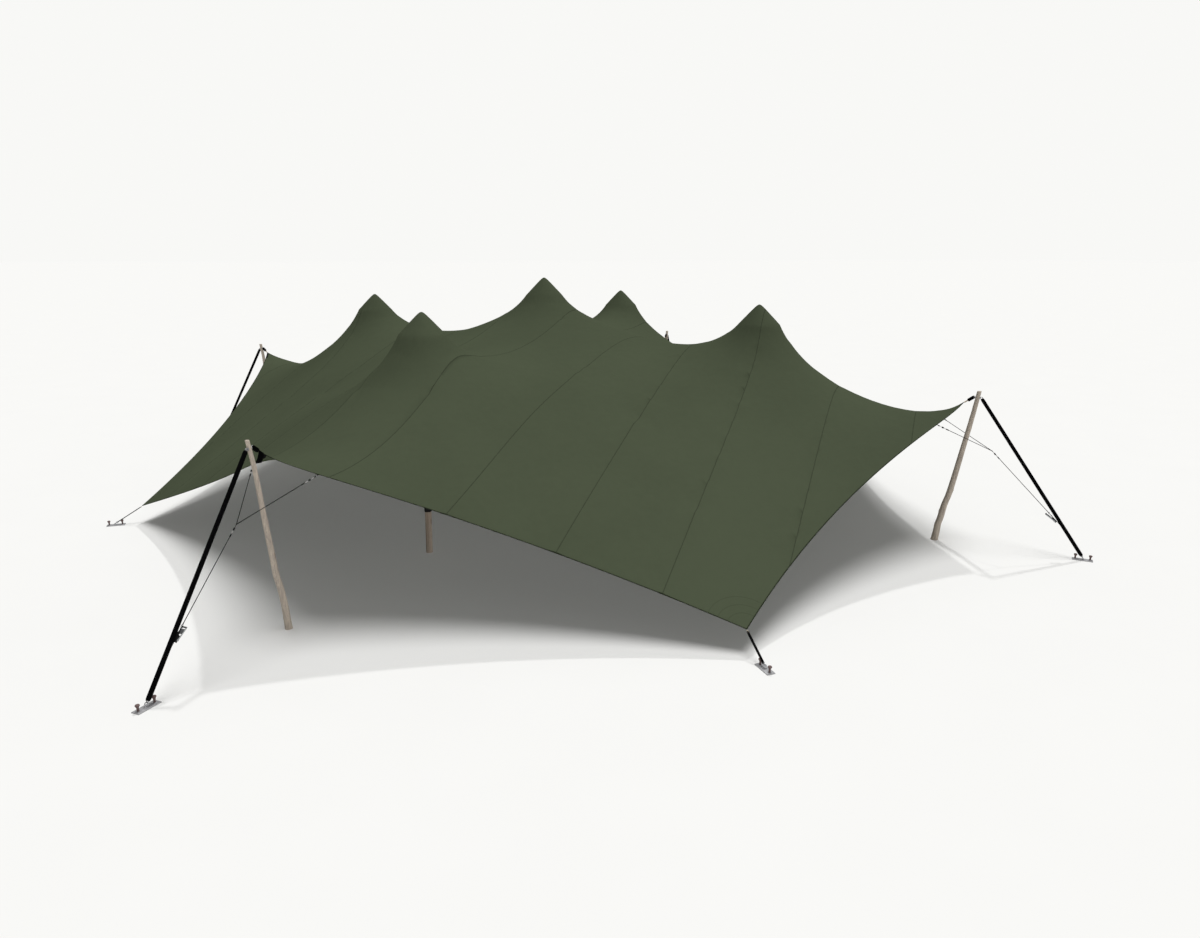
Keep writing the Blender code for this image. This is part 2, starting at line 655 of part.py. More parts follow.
def ratchet_frame(name):
    """The ratchet's foot, its direction up the rope, away from the guy strap, and sideways."""
    _, _, sideways = corner_frame(HIGH_CORNERS[name])
    foot = plane_point(name, RATCHET_FOOT)
    along = (plane_point(name, BRIDLE_JOINT) - foot).normalized()
    away = along.cross(sideways).normalized()
    if away.z > 0:
        away.negate()
    return foot, along, away, sideways


def spindle_middle(name):
    """Middle of the spindle that the lever turns on."""
    foot, along, away, _ = ratchet_frame(name)
    return foot + along * SPINDLE_ALONG + away * SPINDLE_OUT


def make_ratchet(name):
    """The ratchet's channel with its spindle, hook and sewn tail."""
    foot, along, away, sideways = ratchet_frame(name)
    half_wall = RATCHET_WALL / 2
    back = slab(foot, foot + along * RATCHET_LENGTH, sideways, RATCHET_WIDTH, RATCHET_WALL)
    shapes = [back]
    for side in (-1, 1):
        edge = (foot + sideways * (side * (RATCHET_WIDTH / 2 - half_wall))
                + away * (RATCHET_DEPTH / 2 - half_wall))
        shapes.append(slab(edge, edge + along * (RATCHET_LENGTH * CHEEK_SHARE), away,
                           RATCHET_DEPTH, RATCHET_WALL))
    axis = spindle_middle(name)
    reach = RATCHET_WIDTH / 2 + LEVER_CLEAR + LEVER_THICK + SPINDLE_PROUD
    shapes.append(bar(axis - sideways * reach, axis + sideways * reach, SPINDLE_RADIUS, 12))
    hook_top = foot + along * (RATCHET_LENGTH + HOOK_LENGTH)
    shapes.append(bar(foot + along * (RATCHET_LENGTH - HOOK_LAP), hook_top, HOOK_RADIUS))
    top, _, pull = guy_ends(name)
    under = pull.cross(sideways).normalized()
    if under.z > 0:
        under.negate()
    section = strip_ring(foot + along * TAIL_LAP, sideways, along.cross(sideways), TAIL_WIDTH, TAIL_THICK)
    shapes.append(run_to_plane(section, -along, top + under * (GUY_THICK / 2 + GAP), under))
    fuse(f"ratchet_{name}", "ratchet", shapes)


def make_lever(name):
    """The ratchet's handle: two arms on the spindle and a grip across their ends."""
    _, along, away, sideways = ratchet_frame(name)
    axis = spindle_middle(name)
    end = axis + along * LEVER_LENGTH + away * LEVER_RISE
    direction = (end - axis).normalized()
    upright = direction.cross(sideways).normalized()
    offset = RATCHET_WIDTH / 2 + LEVER_CLEAR + LEVER_THICK / 2
    half_thick = sideways * (LEVER_THICK / 2)
    grip = sideways * (offset + LEVER_THICK / 2)
    shapes = [bar(end - grip, end + grip, GRIP_RADIUS, 8)]
    for side in (-1, 1):
        shift = sideways * (side * offset)
        eye = axis + shift
        shapes.append(slab(eye + direction * (SPINDLE_RADIUS / 2), end + shift + direction * SUNK,
                           upright, ARM_WIDTH, LEVER_THICK))
        shapes.append(bar(eye - half_thick, eye + half_thick, SPINDLE_RADIUS + EYE_WALL, 12))
    lever = fuse(f"ratchet_lever_{name}", "lever", shapes)
    reach = sideways * (offset + LEVER_THICK)
    cutter = object_from(bar(axis - reach, axis + reach, SPINDLE_RADIUS + 2 * GAP, 12),
                         f"ratchet_lever_{name}_bore", "lever")
    cutter.hide_render = True
    cutter.display_type = "WIRE"
    bore = lever.modifiers.new("bore", "BOOLEAN")
    bore.operation = "DIFFERENCE"
    bore.solver = "EXACT"
    bore.object = cutter


def make_bridle(name, cloth):
    """The rope from the ratchet's hook, forked to a clip under each edge of the cloth."""
    sign = HIGH_CORNERS[name]
    foot, along, _, _ = ratchet_frame(name)
    joint = plane_point(name, BRIDLE_JOINT)
    hook_top = foot + along * (RATCHET_LENGTH + HOOK_LENGTH + GAP)
    shapes = [bar(hook_top, joint, ROPE_RADIUS, 5), ball(joint, CLIP_RADIUS),
              bar(joint - along * JOINT_TO, joint - along * JOINT_FROM, FITTING_RADIUS)]
    for low, share in (((sign[0], 0), BRIDLE_SIDE_SHARE), ((0, sign[1]), BRIDLE_END_SHARE)):
        edge = edge_point(high_point(sign), low_point(low), share)
        inset = edge.xy - edge.xy.normalized() * BRIDLE_INSET
        under, normal = cloth_under(cloth, inset)
        bead = under - normal * (BEAD_RADIUS + 2 * GAP)
        back = (joint - bead).normalized()
        shapes += [ball(bead, BEAD_RADIUS), bar(bead, joint, ROPE_RADIUS, 5),
                   bar(bead + back * CLIP_FROM, bead + back * CLIP_TO, FITTING_RADIUS)]
    fuse(f"bridle_{name}", "rope", shapes)


def build():
    clear_scene()
    cloth = make_cloth()
    make_inner_pole("centre_pole", Vector((0.0, 0.0)), CENTRE_Z)
    for name, sign in HIGH_CORNERS.items():
        make_inner_pole(f"inner_pole_{name}", Vector((sign[0] * PEAK_X, sign[1] * PEAK_Y)), PEAK_Z)
        make_side_pole(name)
        make_guy(name)
        make_tie(name)
        make_ratchet(name)
        make_lever(name)
        make_bridle(name, cloth)
    for name in LOW_CORNERS:
        make_low_corner(name)


build()
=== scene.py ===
from math import atan2, copysign, cos, exp, hypot, pi, radians, sin, tau

import bmesh
import bpy
import numpy as np
from mathutils import Matrix, Vector, noise
from mathutils.bvhtree import BVHTree


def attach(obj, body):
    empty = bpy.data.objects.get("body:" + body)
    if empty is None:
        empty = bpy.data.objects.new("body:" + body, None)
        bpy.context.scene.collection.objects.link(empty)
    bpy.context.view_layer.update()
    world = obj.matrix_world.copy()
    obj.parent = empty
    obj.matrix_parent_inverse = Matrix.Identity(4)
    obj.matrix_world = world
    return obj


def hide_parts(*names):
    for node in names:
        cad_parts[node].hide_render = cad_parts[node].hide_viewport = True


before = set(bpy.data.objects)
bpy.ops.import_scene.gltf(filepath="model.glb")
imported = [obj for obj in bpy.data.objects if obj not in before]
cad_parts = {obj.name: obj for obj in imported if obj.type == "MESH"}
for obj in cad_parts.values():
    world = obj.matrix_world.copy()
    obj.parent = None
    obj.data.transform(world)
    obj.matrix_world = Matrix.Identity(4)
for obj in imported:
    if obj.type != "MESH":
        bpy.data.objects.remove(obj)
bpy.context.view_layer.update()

# Stretch tent. Front is -Y, the floor is at Z 0, and every length is in metres.
up = Vector((0, 0, 1))

tent = dict(
    highCorner=Vector((5.135, 5.66, 2.285)),     # cloth corners at the side poles
    lowCorner=Vector((7.244, 8.026, 0.296)),     # reach along X, along Y, and height
    innerPole=Vector((2.86, 3.222, 3.717)),      # the four outer peaks
    centreTop=4.121,
)
highCorners = {"front_left": (-1, -1), "front_right": (1, -1), "back_right": (1, 1), "back_left": (-1, 1)}
lowCorners = {"front": (0, -1), "left": (-1, 0), "right": (1, 0), "back": (0, 1)}


# Places in the tent

def highPoint(name):
    return Vector((*highCorners[name], 1)) * tent["highCorner"]


def lowPoint(name):
    return Vector((*lowCorners[name], 1)) * tent["lowCorner"]


def cornerFrame(name):
    # Foot point under a high corner, the way out of the tent, and sideways
    foot = highPoint(name)
    foot.z = 0
    outward = foot.normalized()
    return foot, outward, Vector((-outward.y, outward.x, 0))


def uprightPoint(name, out, height):
    # A point in the upright plane through a high corner and the tent's middle
    foot, outward, _ = cornerFrame(name)
    return foot + outward * out + up * height


def around(turn, reach, height=0.0):
    return Vector((cos(turn) * reach, sin(turn) * reach, height))


def facing(origin, along, across=None):
    # Placing matrix with local Z along and local X across
    along = along.normalized()
    across = along.orthogonal() if across is None else across - along * across.dot(along)
    across.normalize()
    return Matrix.Translation(origin) @ Matrix((across, along.cross(across), along)).transposed().to_4x4()


def squareBelow(along, sideways):
    # Square to two directions, pointing down
    off = along.cross(sideways).normalized()
    return -off if off.z > 0 else off


# Shapes: each is a bmesh whose "place" layer keeps its own coordinates for the materials

def finishShape(bm, matrix):
    # Move a shape made at the origin to its place
    layer = bm.verts.layers.float_vector.new("place")
    for vert in bm.verts:
        vert[layer] = vert.co
    bmesh.ops.transform(bm, matrix=matrix, verts=bm.verts)
    return bm


def bevelSharp(bm, width, segments=2, angle=40):
    sharp = [edge for edge in bm.edges if edge.is_manifold and edge.calc_face_angle() > radians(angle)]
    bmesh.ops.bevel(bm, geom=sharp, offset=width, offset_type="OFFSET", segments=segments, profile=0.5,
        affect="EDGES", material=-1, clamp_overlap=True)


def rodShape(start, end, radius, segments, bevel=0.0):
    bm = bmesh.new()
    length = (end - start).length
    bmesh.ops.create_cone(bm, cap_ends=True, segments=segments, radius1=radius, radius2=radius,
        depth=length, matrix=Matrix.Translation((0, 0, length / 2)))
    if bevel:
        bevelSharp(bm, bevel)
    return finishShape(bm, facing(start, end - start))


def plateShape(middle, along, across, length, width, thick, bevel, segments=2):
    # A flat plate: local Z along, local X across
    bm = bmesh.new()
    bmesh.ops.create_cube(bm, size=1, matrix=Matrix.Diagonal((width, thick, length, 1)))
    bevelSharp(bm, bevel, segments)
    return finishShape(bm, facing(middle, along, across))


def plateBetween(start, end, across, width, thick, bevel, segments=2):
    run = end - start
    return plateShape((start + end) / 2, run, across, run.length, width, thick, bevel, segments)


def spinRound(bm, geom, steps):
    bmesh.ops.spin(bm, geom=geom, cent=(0, 0, 0), axis=(0, 0, 1), dvec=(0, 0, 0), angle=tau, steps=steps,
        use_merge=True, use_duplicate=False)


def ringShape(middle, first, second, radius, bar, steps, sides):
    # A ring of round bar in the plane of two directions
    bm = bmesh.new()
    section = Matrix.Translation((radius, 0, 0)) @ Matrix.Rotation(pi / 2, 4, "X")
    bmesh.ops.create_circle(bm, segments=sides, radius=bar, matrix=section)
    spinRound(bm, bm.verts[:] + bm.edges[:], steps)
    return finishShape(bm, facing(middle, first.cross(second), first))


def turnedShape(middle, along, profile, steps, closed=False):
    # A turned piece from a profile of (radius, height) that is closed, or else starts and ends on its axis
    bm = bmesh.new()
    line = [bm.verts.new((radius, 0, height)) for radius, height in profile]
    after = line[1:] + line[:1] if closed else line[1:]
    spinRound(bm, line + [bm.edges.new(pair) for pair in zip(line, after)], steps)
    bmesh.ops.remove_doubles(bm, verts=bm.verts, dist=1e-6)
    bmesh.ops.recalc_face_normals(bm, faces=bm.faces)
    return finishShape(bm, facing(middle, along))


def columnShape(segments, rings, shapeAt, matrix, bevel=0.0):
    # A capped column cut into rings, where shapeAt(share, turn) gives each local point
    bm = bmesh.new()
    bmesh.ops.create_cone(bm, cap_ends=True, segments=segments, radius1=1, radius2=1, depth=1,
        matrix=Matrix.Translation((0, 0, 0.5)))
    sides = [edge for edge in bm.edges if abs(edge.verts[0].co.z - edge.verts[1].co.z) > 0.5]
    bmesh.ops.subdivide_edges(bm, edges=sides, cuts=rings - 1)
    for vert in bm.verts:
        vert.co = shapeAt(vert.co.z, atan2(vert.co.y, vert.co.x))
    if bevel:
        bevelSharp(bm, bevel, angle=50)
    return finishShape(bm, matrix)


def gridShape(steps, placeAt, thick):
    # A strip of cloth, where placeAt(wide, down) gives each point and the coordinates for its material
    bm = bmesh.new()
    bmesh.ops.create_grid(bm, x_segments=steps[0], y_segments=steps[1], size=0.5)
    layer = bm.verts.layers.float_vector.new("place")
    for vert in bm.verts:
        vert.co, vert[layer] = placeAt(vert.co.x + 0.5, vert.co.y + 0.5)
    bmesh.ops.recalc_face_normals(bm, faces=bm.faces)
    bmesh.ops.solidify(bm, geom=bm.faces[:], thickness=thick)
    return bm


def joined(shapes):
    whole = bmesh.new()
    whole.verts.layers.float_vector.new("place")
    for shape in shapes:
        mesh = bpy.data.meshes.new("shape")
        shape.to_mesh(mesh)
        shape.free()
        whole.from_mesh(mesh)
        bpy.data.meshes.remove(mesh)
    return whole


def addObject(name, data):
    made = bpy.data.objects.new(name, data)
    bpy.context.scene.collection.objects.link(made)
    return made


def newPiece(name, shapes, finish, body="tent", replaced=(), sharp=40):
    bm = joined(shapes) if isinstance(shapes, list) else shapes
    bmesh.ops.recalc_face_normals(bm, faces=bm.faces)
    mesh = bpy.data.meshes.new(name)
    bm.to_mesh(mesh)
    bm.free()
    mesh.shade_smooth()
    mesh.set_sharp_from_angle(angle=radians(sharp))
    mesh.materials.append(finish)
    piece = addObject(name, mesh)
    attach(piece, body)
    if replaced:
        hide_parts(*replaced)
    return piece


# Material nodes

def newMaterial(name, colour, roughness, metallic=0.0, **sockets):
    made = bpy.data.materials.new(name)
    made.use_nodes = True
    shader = made.node_tree.nodes["Principled BSDF"]
    shader.inputs["Base Color"].default_value = (*colour, 1)
    shader.inputs["Roughness"].default_value = roughness
    shader.inputs["Metallic"].default_value = metallic
    for socket, value in sockets.items():
        shader.inputs[socket.replace("_", " ")].default_value = value
    return made, made.node_tree, shader


def addNode(tree, kind, inputs, **settings):
    made = tree.nodes.new("ShaderNode" + kind)
    for key, value in settings.items():
        setattr(made, key, value)
    for key, value in inputs.items():
        if isinstance(value, bpy.types.NodeSocket):
            tree.links.new(value, made.inputs[key])
        else:
            made.inputs[key].default_value = value
    return made


def treeOf(*values):
    return next(value.id_data for value in values if isinstance(value, bpy.types.NodeSocket))


def calc(operation, first, second=0.0):
    inputs = {0: first, 1: second, 2: 0.0}
    return addNode(treeOf(first, second), "Math", inputs, operation=operation).outputs[0]


def times(first, second):
    return calc("MULTIPLY", first, second)


def plus(first, second):
    return calc("ADD", first, second)


def minus(first, second):
    return calc("SUBTRACT", first, second)


def blendColours(amount, first, second, mode="MIX"):
    # Colours are sockets or red, green and blue
    first, second = (part if isinstance(part, bpy.types.NodeSocket) else (*part, 1)
        for part in (first, second))
    inputs = {0: amount, 6: first, 7: second}
    tree = treeOf(amount, first, second)
    return addNode(tree, "Mix", inputs, data_type="RGBA", blend_type=mode).outputs[2]


def tinted(colour, tone):
    return blendColours(1.0, colour, tone, "MULTIPLY")


def fadeBetween(value, low, high, toLow=0.0, toHigh=1.0):
    return addNode(treeOf(value), "MapRange", {0: value, 1: low, 2: high, 3: toLow, 4: toHigh},
        interpolation_type="SMOOTHSTEP").outputs[0]


def placeVector(tree, scale):
    # The shape's own coordinates, stretched
    own = addNode(tree, "Attribute", {}, attribute_name="place").outputs["Vector"]
    return addNode(tree, "Mapping", {"Vector": own, "Scale": scale}).outputs[0]


def noiseFrom(vector, scale, detail, roughness=0.5):
    inputs = {"Vector": vector, "Scale": scale, "Detail": detail, "Roughness": roughness}
    return addNode(treeOf(vector), "TexNoise", inputs).outputs[0]


def grainNoise(tree, stretch, detail, roughness=0.5):
    # Noise along the shape, drawn out by the stretch
    return noiseFrom(placeVector(tree, stretch), 1.0, detail, roughness)


def ownPlace(tree):
    return addNode(tree, "SeparateXYZ", {0: placeVector(tree, (1, 1, 1))}).outputs


def feed(shader, socket, value):
    shader.id_data.links.new(value, shader.inputs[socket])


def setBump(shader, height, strength, distance):
    bump = addNode(shader.id_data, "Bump", {"Height": height, "Strength": strength, "Distance": distance})
    feed(shader, "Normal", bump.outputs[0])


# Canopy

cloth = dict(
    endBow=0.325,              # how far the front and back edges curve in between their corners
    sideBow=0.262,             # and the left and right ones
    cornerDip=0.072,           # the edges drop this much just beside the high corners
    dipReach=0.035,
    endSag=0.02,               # the front and back edges also hang this much at mid-length
    cuts=47,                   # points between two corners
    panelWidth=1.254,
    panels=13,
    seamWidth=0.012,
    hemWidth=0.012,
    foldHeight=0.0012,         # a seam or hem stands this much above the cloth
    thickness=0.0024,
    coneRadius=0.36,           # the stiff patch over a pole head
    coneSlope=1.08,
    tipRound=0.04,
    fullness=0.02,
    finerWithin=(1.0, 0.55, 0.28, 0.12),
    cutAcross=(15.2, 15.3),    # corner to corner of the cloth as cut
    cutArea=166.0,
)
seamAlong = Vector((tent["lowCorner"].x, tent["lowCorner"].y, 0)).normalized()
seamAcross = Vector((seamAlong.y, -seamAlong.x, 0))
peaks = [Vector((0, 0, tent["centreTop"]))] + [
    Vector((x, y, 1)) * tent["innerPole"] for x, y in highCorners.values()]
rimNames = ["right", "back_right", "back", "back_left", "left", "front_left", "front", "front_right"]
rimCorners = [lowPoint(name) if name in lowCorners else highPoint(name) for name in rimNames]
endSectors = (1, 2, 5, 6)          # the front and back edges, counted from the right corner


def inwardFrom(run, point):
    # Square to a run of the edge in plan, towards the middle of the tent
    inward = Vector((-run.y, run.x)).normalized()
    return -inward if inward.dot(point) > 0 else inward


def edgeChord(sector):
    first, last = rimCorners[sector % 8], rimCorners[(sector + 1) % 8]
    chord = (last - first).xy
    return first, last, chord, inwardFrom(chord, (first + last).xy)


def edgeDip(sector, share):
    # How far an edge hangs below the line between its corners
    sag = cloth["endSag"] if sector % 8 in endSectors else 0.0
    away = share if sector % 2 else 1 - share
    dip = cloth["cornerDip"] * (1 - away) * (1 - exp(-away / cloth["dipReach"]))
    return dip + sag * 4 * away * (1 - away)


def edgePoint(sector, share):
    first, last, _, inward = edgeChord(sector)
    bow = cloth["endBow" if sector % 8 in endSectors else "sideBow"] * 4 * share * (1 - share)
    point = first.lerp(last, share)
    return Vector((point.x + inward.x * bow, point.y + inward.y * bow, point.z - edgeDip(sector, share)))


def sectorOf(point):
    return int((atan2(point.y, point.x) % tau) / (tau / 8)) % 8


def edgeHeight(point):
    # Height of the rim beside a plan point
    best = None
    for sector in range(8):
        first, last, chord, _ = edgeChord(sector)
        share = (point - first.xy).dot(chord) / chord.length_squared
        away = (edgePoint(sector, share).xy - point).length
        if -0.001 < share < 1.001 and (best is None or away < best[0]):
            best = (away, first.z + (last.z - first.z) * share - edgeDip(sector, share))
    return best[1]


def conePatch(point):
    for peak in peaks:
        away = (point - peak.xy).length
        if away < cloth["coneRadius"] + 0.001:
            tip = cloth["tipRound"]
            return peak.z - cloth["coneSlope"] * (hypot(away, tip) - tip)
    return None


def canopyPlan():
    # The flat plan: a fan of eight triangles, bent to the bowed edge, finer near the poles
    bm = bmesh.new()
    bmesh.ops.create_circle(bm, cap_ends=True, cap_tris=True, segments=8, radius=1)
    bmesh.ops.subdivide_edges(bm, edges=bm.edges, cuts=cloth["cuts"], use_grid_fill=True)
    spokes = [Vector((cos(tau * k / 8), sin(tau * k / 8))) for k in range(9)]
    for vert in bm.verts:
        point = vert.co.xy
        if point.length < 1e-6:
            continue
        sector = sectorOf(point)
        first, last = spokes[sector], spokes[sector + 1]
        whole = first.cross(last)
        toFirst, toLast = point.cross(last) / whole, first.cross(point) / whole
        reach = toFirst + toLast
        rim = edgePoint(sector, toLast / reach)
        vert.co = (rim.x * reach, rim.y * reach, 0)
    for peak in peaks:
        for reach in cloth["finerWithin"]:
            near = [edge for edge in bm.edges
                if all((vert.co.xy - peak.xy).length < reach for vert in edge.verts)]
            bmesh.ops.subdivide_edges(bm, edges=near, cuts=1)
            bmesh.ops.triangulate(bm, faces=[face for face in bm.faces if len(face.verts) > 3])
    bmesh.ops.inset_region(bm, faces=bm.faces[:], thickness=cloth["hemWidth"], use_boundary=True,
        use_even_offset=True)
    hem = bm.verts.layers.float.new("hem")
    for vert in bm.verts:
        vert[hem] = 0.0 if vert.is_boundary else cloth["hemWidth"]
    width, count = cloth["panelWidth"], cloth["panels"]
    for number in range(count - 1):
        for side in (-0.5, 0.5):
            offset = width * (number - (count - 2) / 2) + side * cloth["seamWidth"]
            bmesh.ops.bisect_plane(bm, geom=bm.verts[:] + bm.edges[:] + bm.faces[:], dist=1e-4,
                plane_co=seamAcross * offset, plane_no=seamAcross)
    return bm


def canopyHeights(bm):
    # A stretched membrane, held at its edge and over the pole heads, solved by conjugate gradients
    bm.verts.index_update()
    plan = np.array([vert.co.xy for vert in bm.verts])
    corners = np.array([[loop.vert.index for loop in triple] for triple in bm.calc_loop_triangles()])
    held = np.zeros(len(plan), bool)
    heights = np.full(len(plan), 2.5)
    for number, vert in enumerate(bm.verts):
        height = edgeHeight(vert.co.xy) if vert.is_boundary else conePatch(vert.co.xy)
        if height is not None:
            heights[number], held[number] = height, True
    starts, ends, weights = [], [], []
    load = np.zeros(len(plan))
    for k in range(3):
        i, j, opposite = corners[:, k], corners[:, (k + 1) % 3], corners[:, (k + 2) % 3]
        first, second = plan[i] - plan[opposite], plan[j] - plan[opposite]
        cross = np.abs(first[:, 0] * second[:, 1] - first[:, 1] * second[:, 0])
        dot = (first * second).sum(1)
        starts.append(i)
        ends.append(j)
        weights.append(0.5 * dot / np.maximum(cross, 1e-7))
        np.add.at(load, i, cloth["fullness"] * cross / 6)
    starts, ends, weights = (np.concatenate(part) for part in (starts, ends, weights))
    weights = np.clip(weights, 1e-3, 60)
    count, free = len(plan), ~held

    def stiffness(values):
        pull = weights * (values[starts] - values[ends])
        return np.bincount(starts, pull, count) - np.bincount(ends, pull, count)

    diagonal = np.bincount(starts, weights, count) + np.bincount(ends, weights, count)
    rest = np.where(free, load - stiffness(heights), 0)
    step = rest / diagonal
    energy = (rest * step).sum()
    for _ in range(1500):
        pushed = np.where(free, stiffness(step), 0)
        share = energy / (step * pushed).sum()
        heights += share * step
        rest -= share * pushed
        if np.abs(rest).max() < 1e-9:
            break
        ready = rest / diagonal
        fresh = (rest * ready).sum()
        step = ready + step * (fresh / energy)
        energy = fresh
    for vert, height in zip(bm.verts, heights):
        vert.co.z = height


def isFold(face, hem):
    # Faces of the seams and of the hem
    middle = face.calc_center_median()
    width = cloth["panelWidth"]
    away = abs((middle.dot(seamAcross) / width) % 1 - 0.5) * width
    if away < cloth["seamWidth"] / 2:
        return True
    return sum(vert[hem] for vert in face.verts) / len(face.verts) < cloth["hemWidth"] - 0.002


def makeCanopy(finish):
    bm = canopyPlan()
    canopyHeights(bm)
    bmesh.ops.recalc_face_normals(bm, faces=bm.faces)
    surface = BVHTree.FromBMesh(bm)
    hem = bm.verts.layers.float["hem"]
    bmesh.ops.solidify(bm, geom=bm.faces[:], thickness=cloth["thickness"])
    bm.normal_update()
    folds = [face for face in bm.faces if face.normal.z > 0.05 and isFold(face, hem)]
    lifted = bmesh.ops.extrude_face_region(bm, geom=folds)["geom"]
    bmesh.ops.delete(bm, geom=folds, context="FACES")
    fresh = [item for item in lifted if isinstance(item, bmesh.types.BMVert)]
    bmesh.ops.translate(bm, verts=fresh, vec=up * cloth["foldHeight"])
    bm.verts.layers.float_vector.new("place")
    panels = [f"canopy_panel_{number + 1:02d}" for number in range(cloth["panels"])]
    piece = newPiece("canopy", bm, finish, replaced=panels, sharp=60)
    return piece, surface


def clothPoint(surface, point):
    # The cloth's top surface over a plan point, with its upward direction
    place, normal, _, _ = surface.ray_cast(Vector((point.x, point.y, 10)), -up)
    return place, normal if normal.z > 0 else -normal


def measured(operation, first, second):
    # A length from two vectors
    inputs = {0: first, 1: second}
    return addNode(treeOf(first), "VectorMath", inputs, operation=operation).outputs["Value"]


def clothMaterial():
    settings = dict(colour=(0.0662, 0.08, 0.049), shade=0.06, ribs=0.0022, stitch=0.0045, seamDark=0.62,
        hemDark=0.3, arcGap=0.12, arcDark=0.17)
    made, tree, shader = newMaterial("olive stretch cloth", settings["colour"], 1.0, Specular_IOR_Level=0.0)
    own = addNode(tree, "TexCoord", {}).outputs["Object"]
    across = measured("DOT_PRODUCT", own, seamAcross)
    along = measured("DOT_PRODUCT", own, seamAlong)
    width = cloth["panelWidth"]
    turn = calc("FRACT", calc("DIVIDE", across, width))
    seamAway = times(calc("ABSOLUTE", minus(turn, 0.5)), width)
    hemAway = addNode(tree, "Attribute", {}, attribute_name="hem").outputs["Fac"]
    half = cloth["seamWidth"] / 2
    seam = fadeBetween(seamAway, half + 0.002, half - 0.001)
    hem = fadeBetween(hemAway, cloth["hemWidth"], cloth["hemWidth"] * 0.9)
    broad = noiseFrom(own, 0.45, 3.0)
    fine = noiseFrom(own, 9.0, 4.0, 0.6)
    mottled = plus(times(broad, 0.7), times(fine, 0.3))
    tone = fadeBetween(mottled, 0.3, 0.7, 1 - settings["shade"], 1 + settings["shade"])
    colour = tinted(settings["colour"], tone)
    dark = calc("MAXIMUM", times(seam, 1 - settings["seamDark"]), times(hem, 1 - settings["hemDark"]))
    colour = blendColours(dark, colour, (0.004, 0.005, 0.003))
    rowAway = calc("ABSOLUTE", minus(seamAway, half * 0.72))
    row = fadeBetween(rowAway, 0.0011, 0.0006)
    dash = calc("GREATER_THAN", calc("FRACT", calc("DIVIDE", along, settings["stitch"])), 0.35)
    thread = times(times(row, dash), seam)
    colour = blendColours(times(thread, 0.5), colour, (0.1, 0.12, 0.08))
    low = None
    for name in lowCorners:
        away = measured("DISTANCE", own, lowPoint(name))
        low = away if low is None else calc("MINIMUM", low, away)
    arc = fadeBetween(calc("PINGPONG", low, settings["arcGap"] / 2), 0.011, 0.004)
    arc = times(times(arc, calc("GREATER_THAN", low, 0.2)), calc("LESS_THAN", low, 0.55))
    colour = blendColours(times(arc, settings["arcDark"]), colour, (0.02, 0.025, 0.014))
    feed(shader, "Base Color", colour)
    ribs = calc("SINE", times(across, tau / settings["ribs"]))
    picks = calc("SINE", times(along, tau / (settings["ribs"] * 1.4)))
    knit = times(ribs, picks)
    height = plus(times(knit, 0.25), times(thread, 1.2))
    setBump(shader, height, 0.25, 0.0006)
    return made


# Poles

sidePole = dict(
    footOut=-0.27, topOut=0.205, top=2.47, sides=28, rings=70,
    girth={                    # radius at the foot and at the top
        "front_left": (0.044, 0.025), "front_right": (0.054, 0.032), "back_right": (0.05, 0.031),
        "back_left": (0.048, 0.03),
    },
    ridge=0.045,               # how uneven the round is, as a share of the radius
    knotSize=0.006,
    bends={                    # height share, shift out, shift aside
        "front_left": ((0.0, 0.004, 0.0), (0.05, 0.0, 0.003), (0.12, -0.006, 0.006),
            (0.2, -0.015, -0.004), (0.25, -0.011, -0.01), (0.3, 0.005, -0.01),
            (0.38, 0.01, 0.0), (0.46, 0.01, 0.004), (0.6, 0.014, 0.012),
            (0.86, -0.016, 0.0), (1.0, 0.0, 0.0)),
        "front_right": ((0.0, -0.038, 0.0), (0.06, -0.042, 0.004), (0.11, -0.05, -0.006),
            (0.15, -0.04, -0.008), (0.24, -0.036, 0.0), (0.31, -0.016, 0.01),
            (0.4, -0.008, 0.012), (0.6, -0.002, 0.006), (0.86, 0.004, -0.004),
            (1.0, 0.0, 0.0)),
        "back_right": ((0.0, 0.0, 0.0), (0.15, 0.02, 0.014), (0.34, 0.03, -0.012),
            (0.52, 0.002, -0.018), (0.74, -0.02, 0.006), (1.0, 0.0, 0.0)),
        "back_left": ((0.0, 0.0, 0.0), (0.12, -0.012, -0.014), (0.3, 0.012, -0.022),
            (0.5, 0.022, 0.008), (0.7, 0.004, 0.016), (0.88, -0.016, 0.006), (1.0, 0.0, 0.0)),
    },
    knots=((0.17, 0.8), (0.31, 3.9), (0.47, 5.4), (0.58, 1.9), (0.73, 4.4), (0.87, 0.3)),
)
innerPole = dict(radius=0.05, sides=26, rings=72, ridge=0.035, bend=0.004, headShare=0.985,
    band=(0.655, 0.725, 0.005),                 # low edge, high edge and wall of the dark band
    knots=((0.21, 2.2), (0.44, 5.1), (0.66, 0.9), (0.81, 3.6)), knotSize=0.005)


def makePoleBand(node, foot, finish):
    # A dark band round an inner pole, 0.66 to 0.73 m above the floor
    low, high, wall = innerPole["band"]
    radius = innerPole["radius"] + innerPole["ridge"] * 0.05
    profile = [(radius - 0.004, low), (radius + wall * 0.5, low), (radius + wall, low + 0.003),
        (radius + wall, high - 0.003), (radius + wall * 0.5, high), (radius - 0.004, high)]
    newPiece(f"{node}_band", [turnedShape(Vector((*foot.xy, 0)), up, profile, 48, True)], finish)


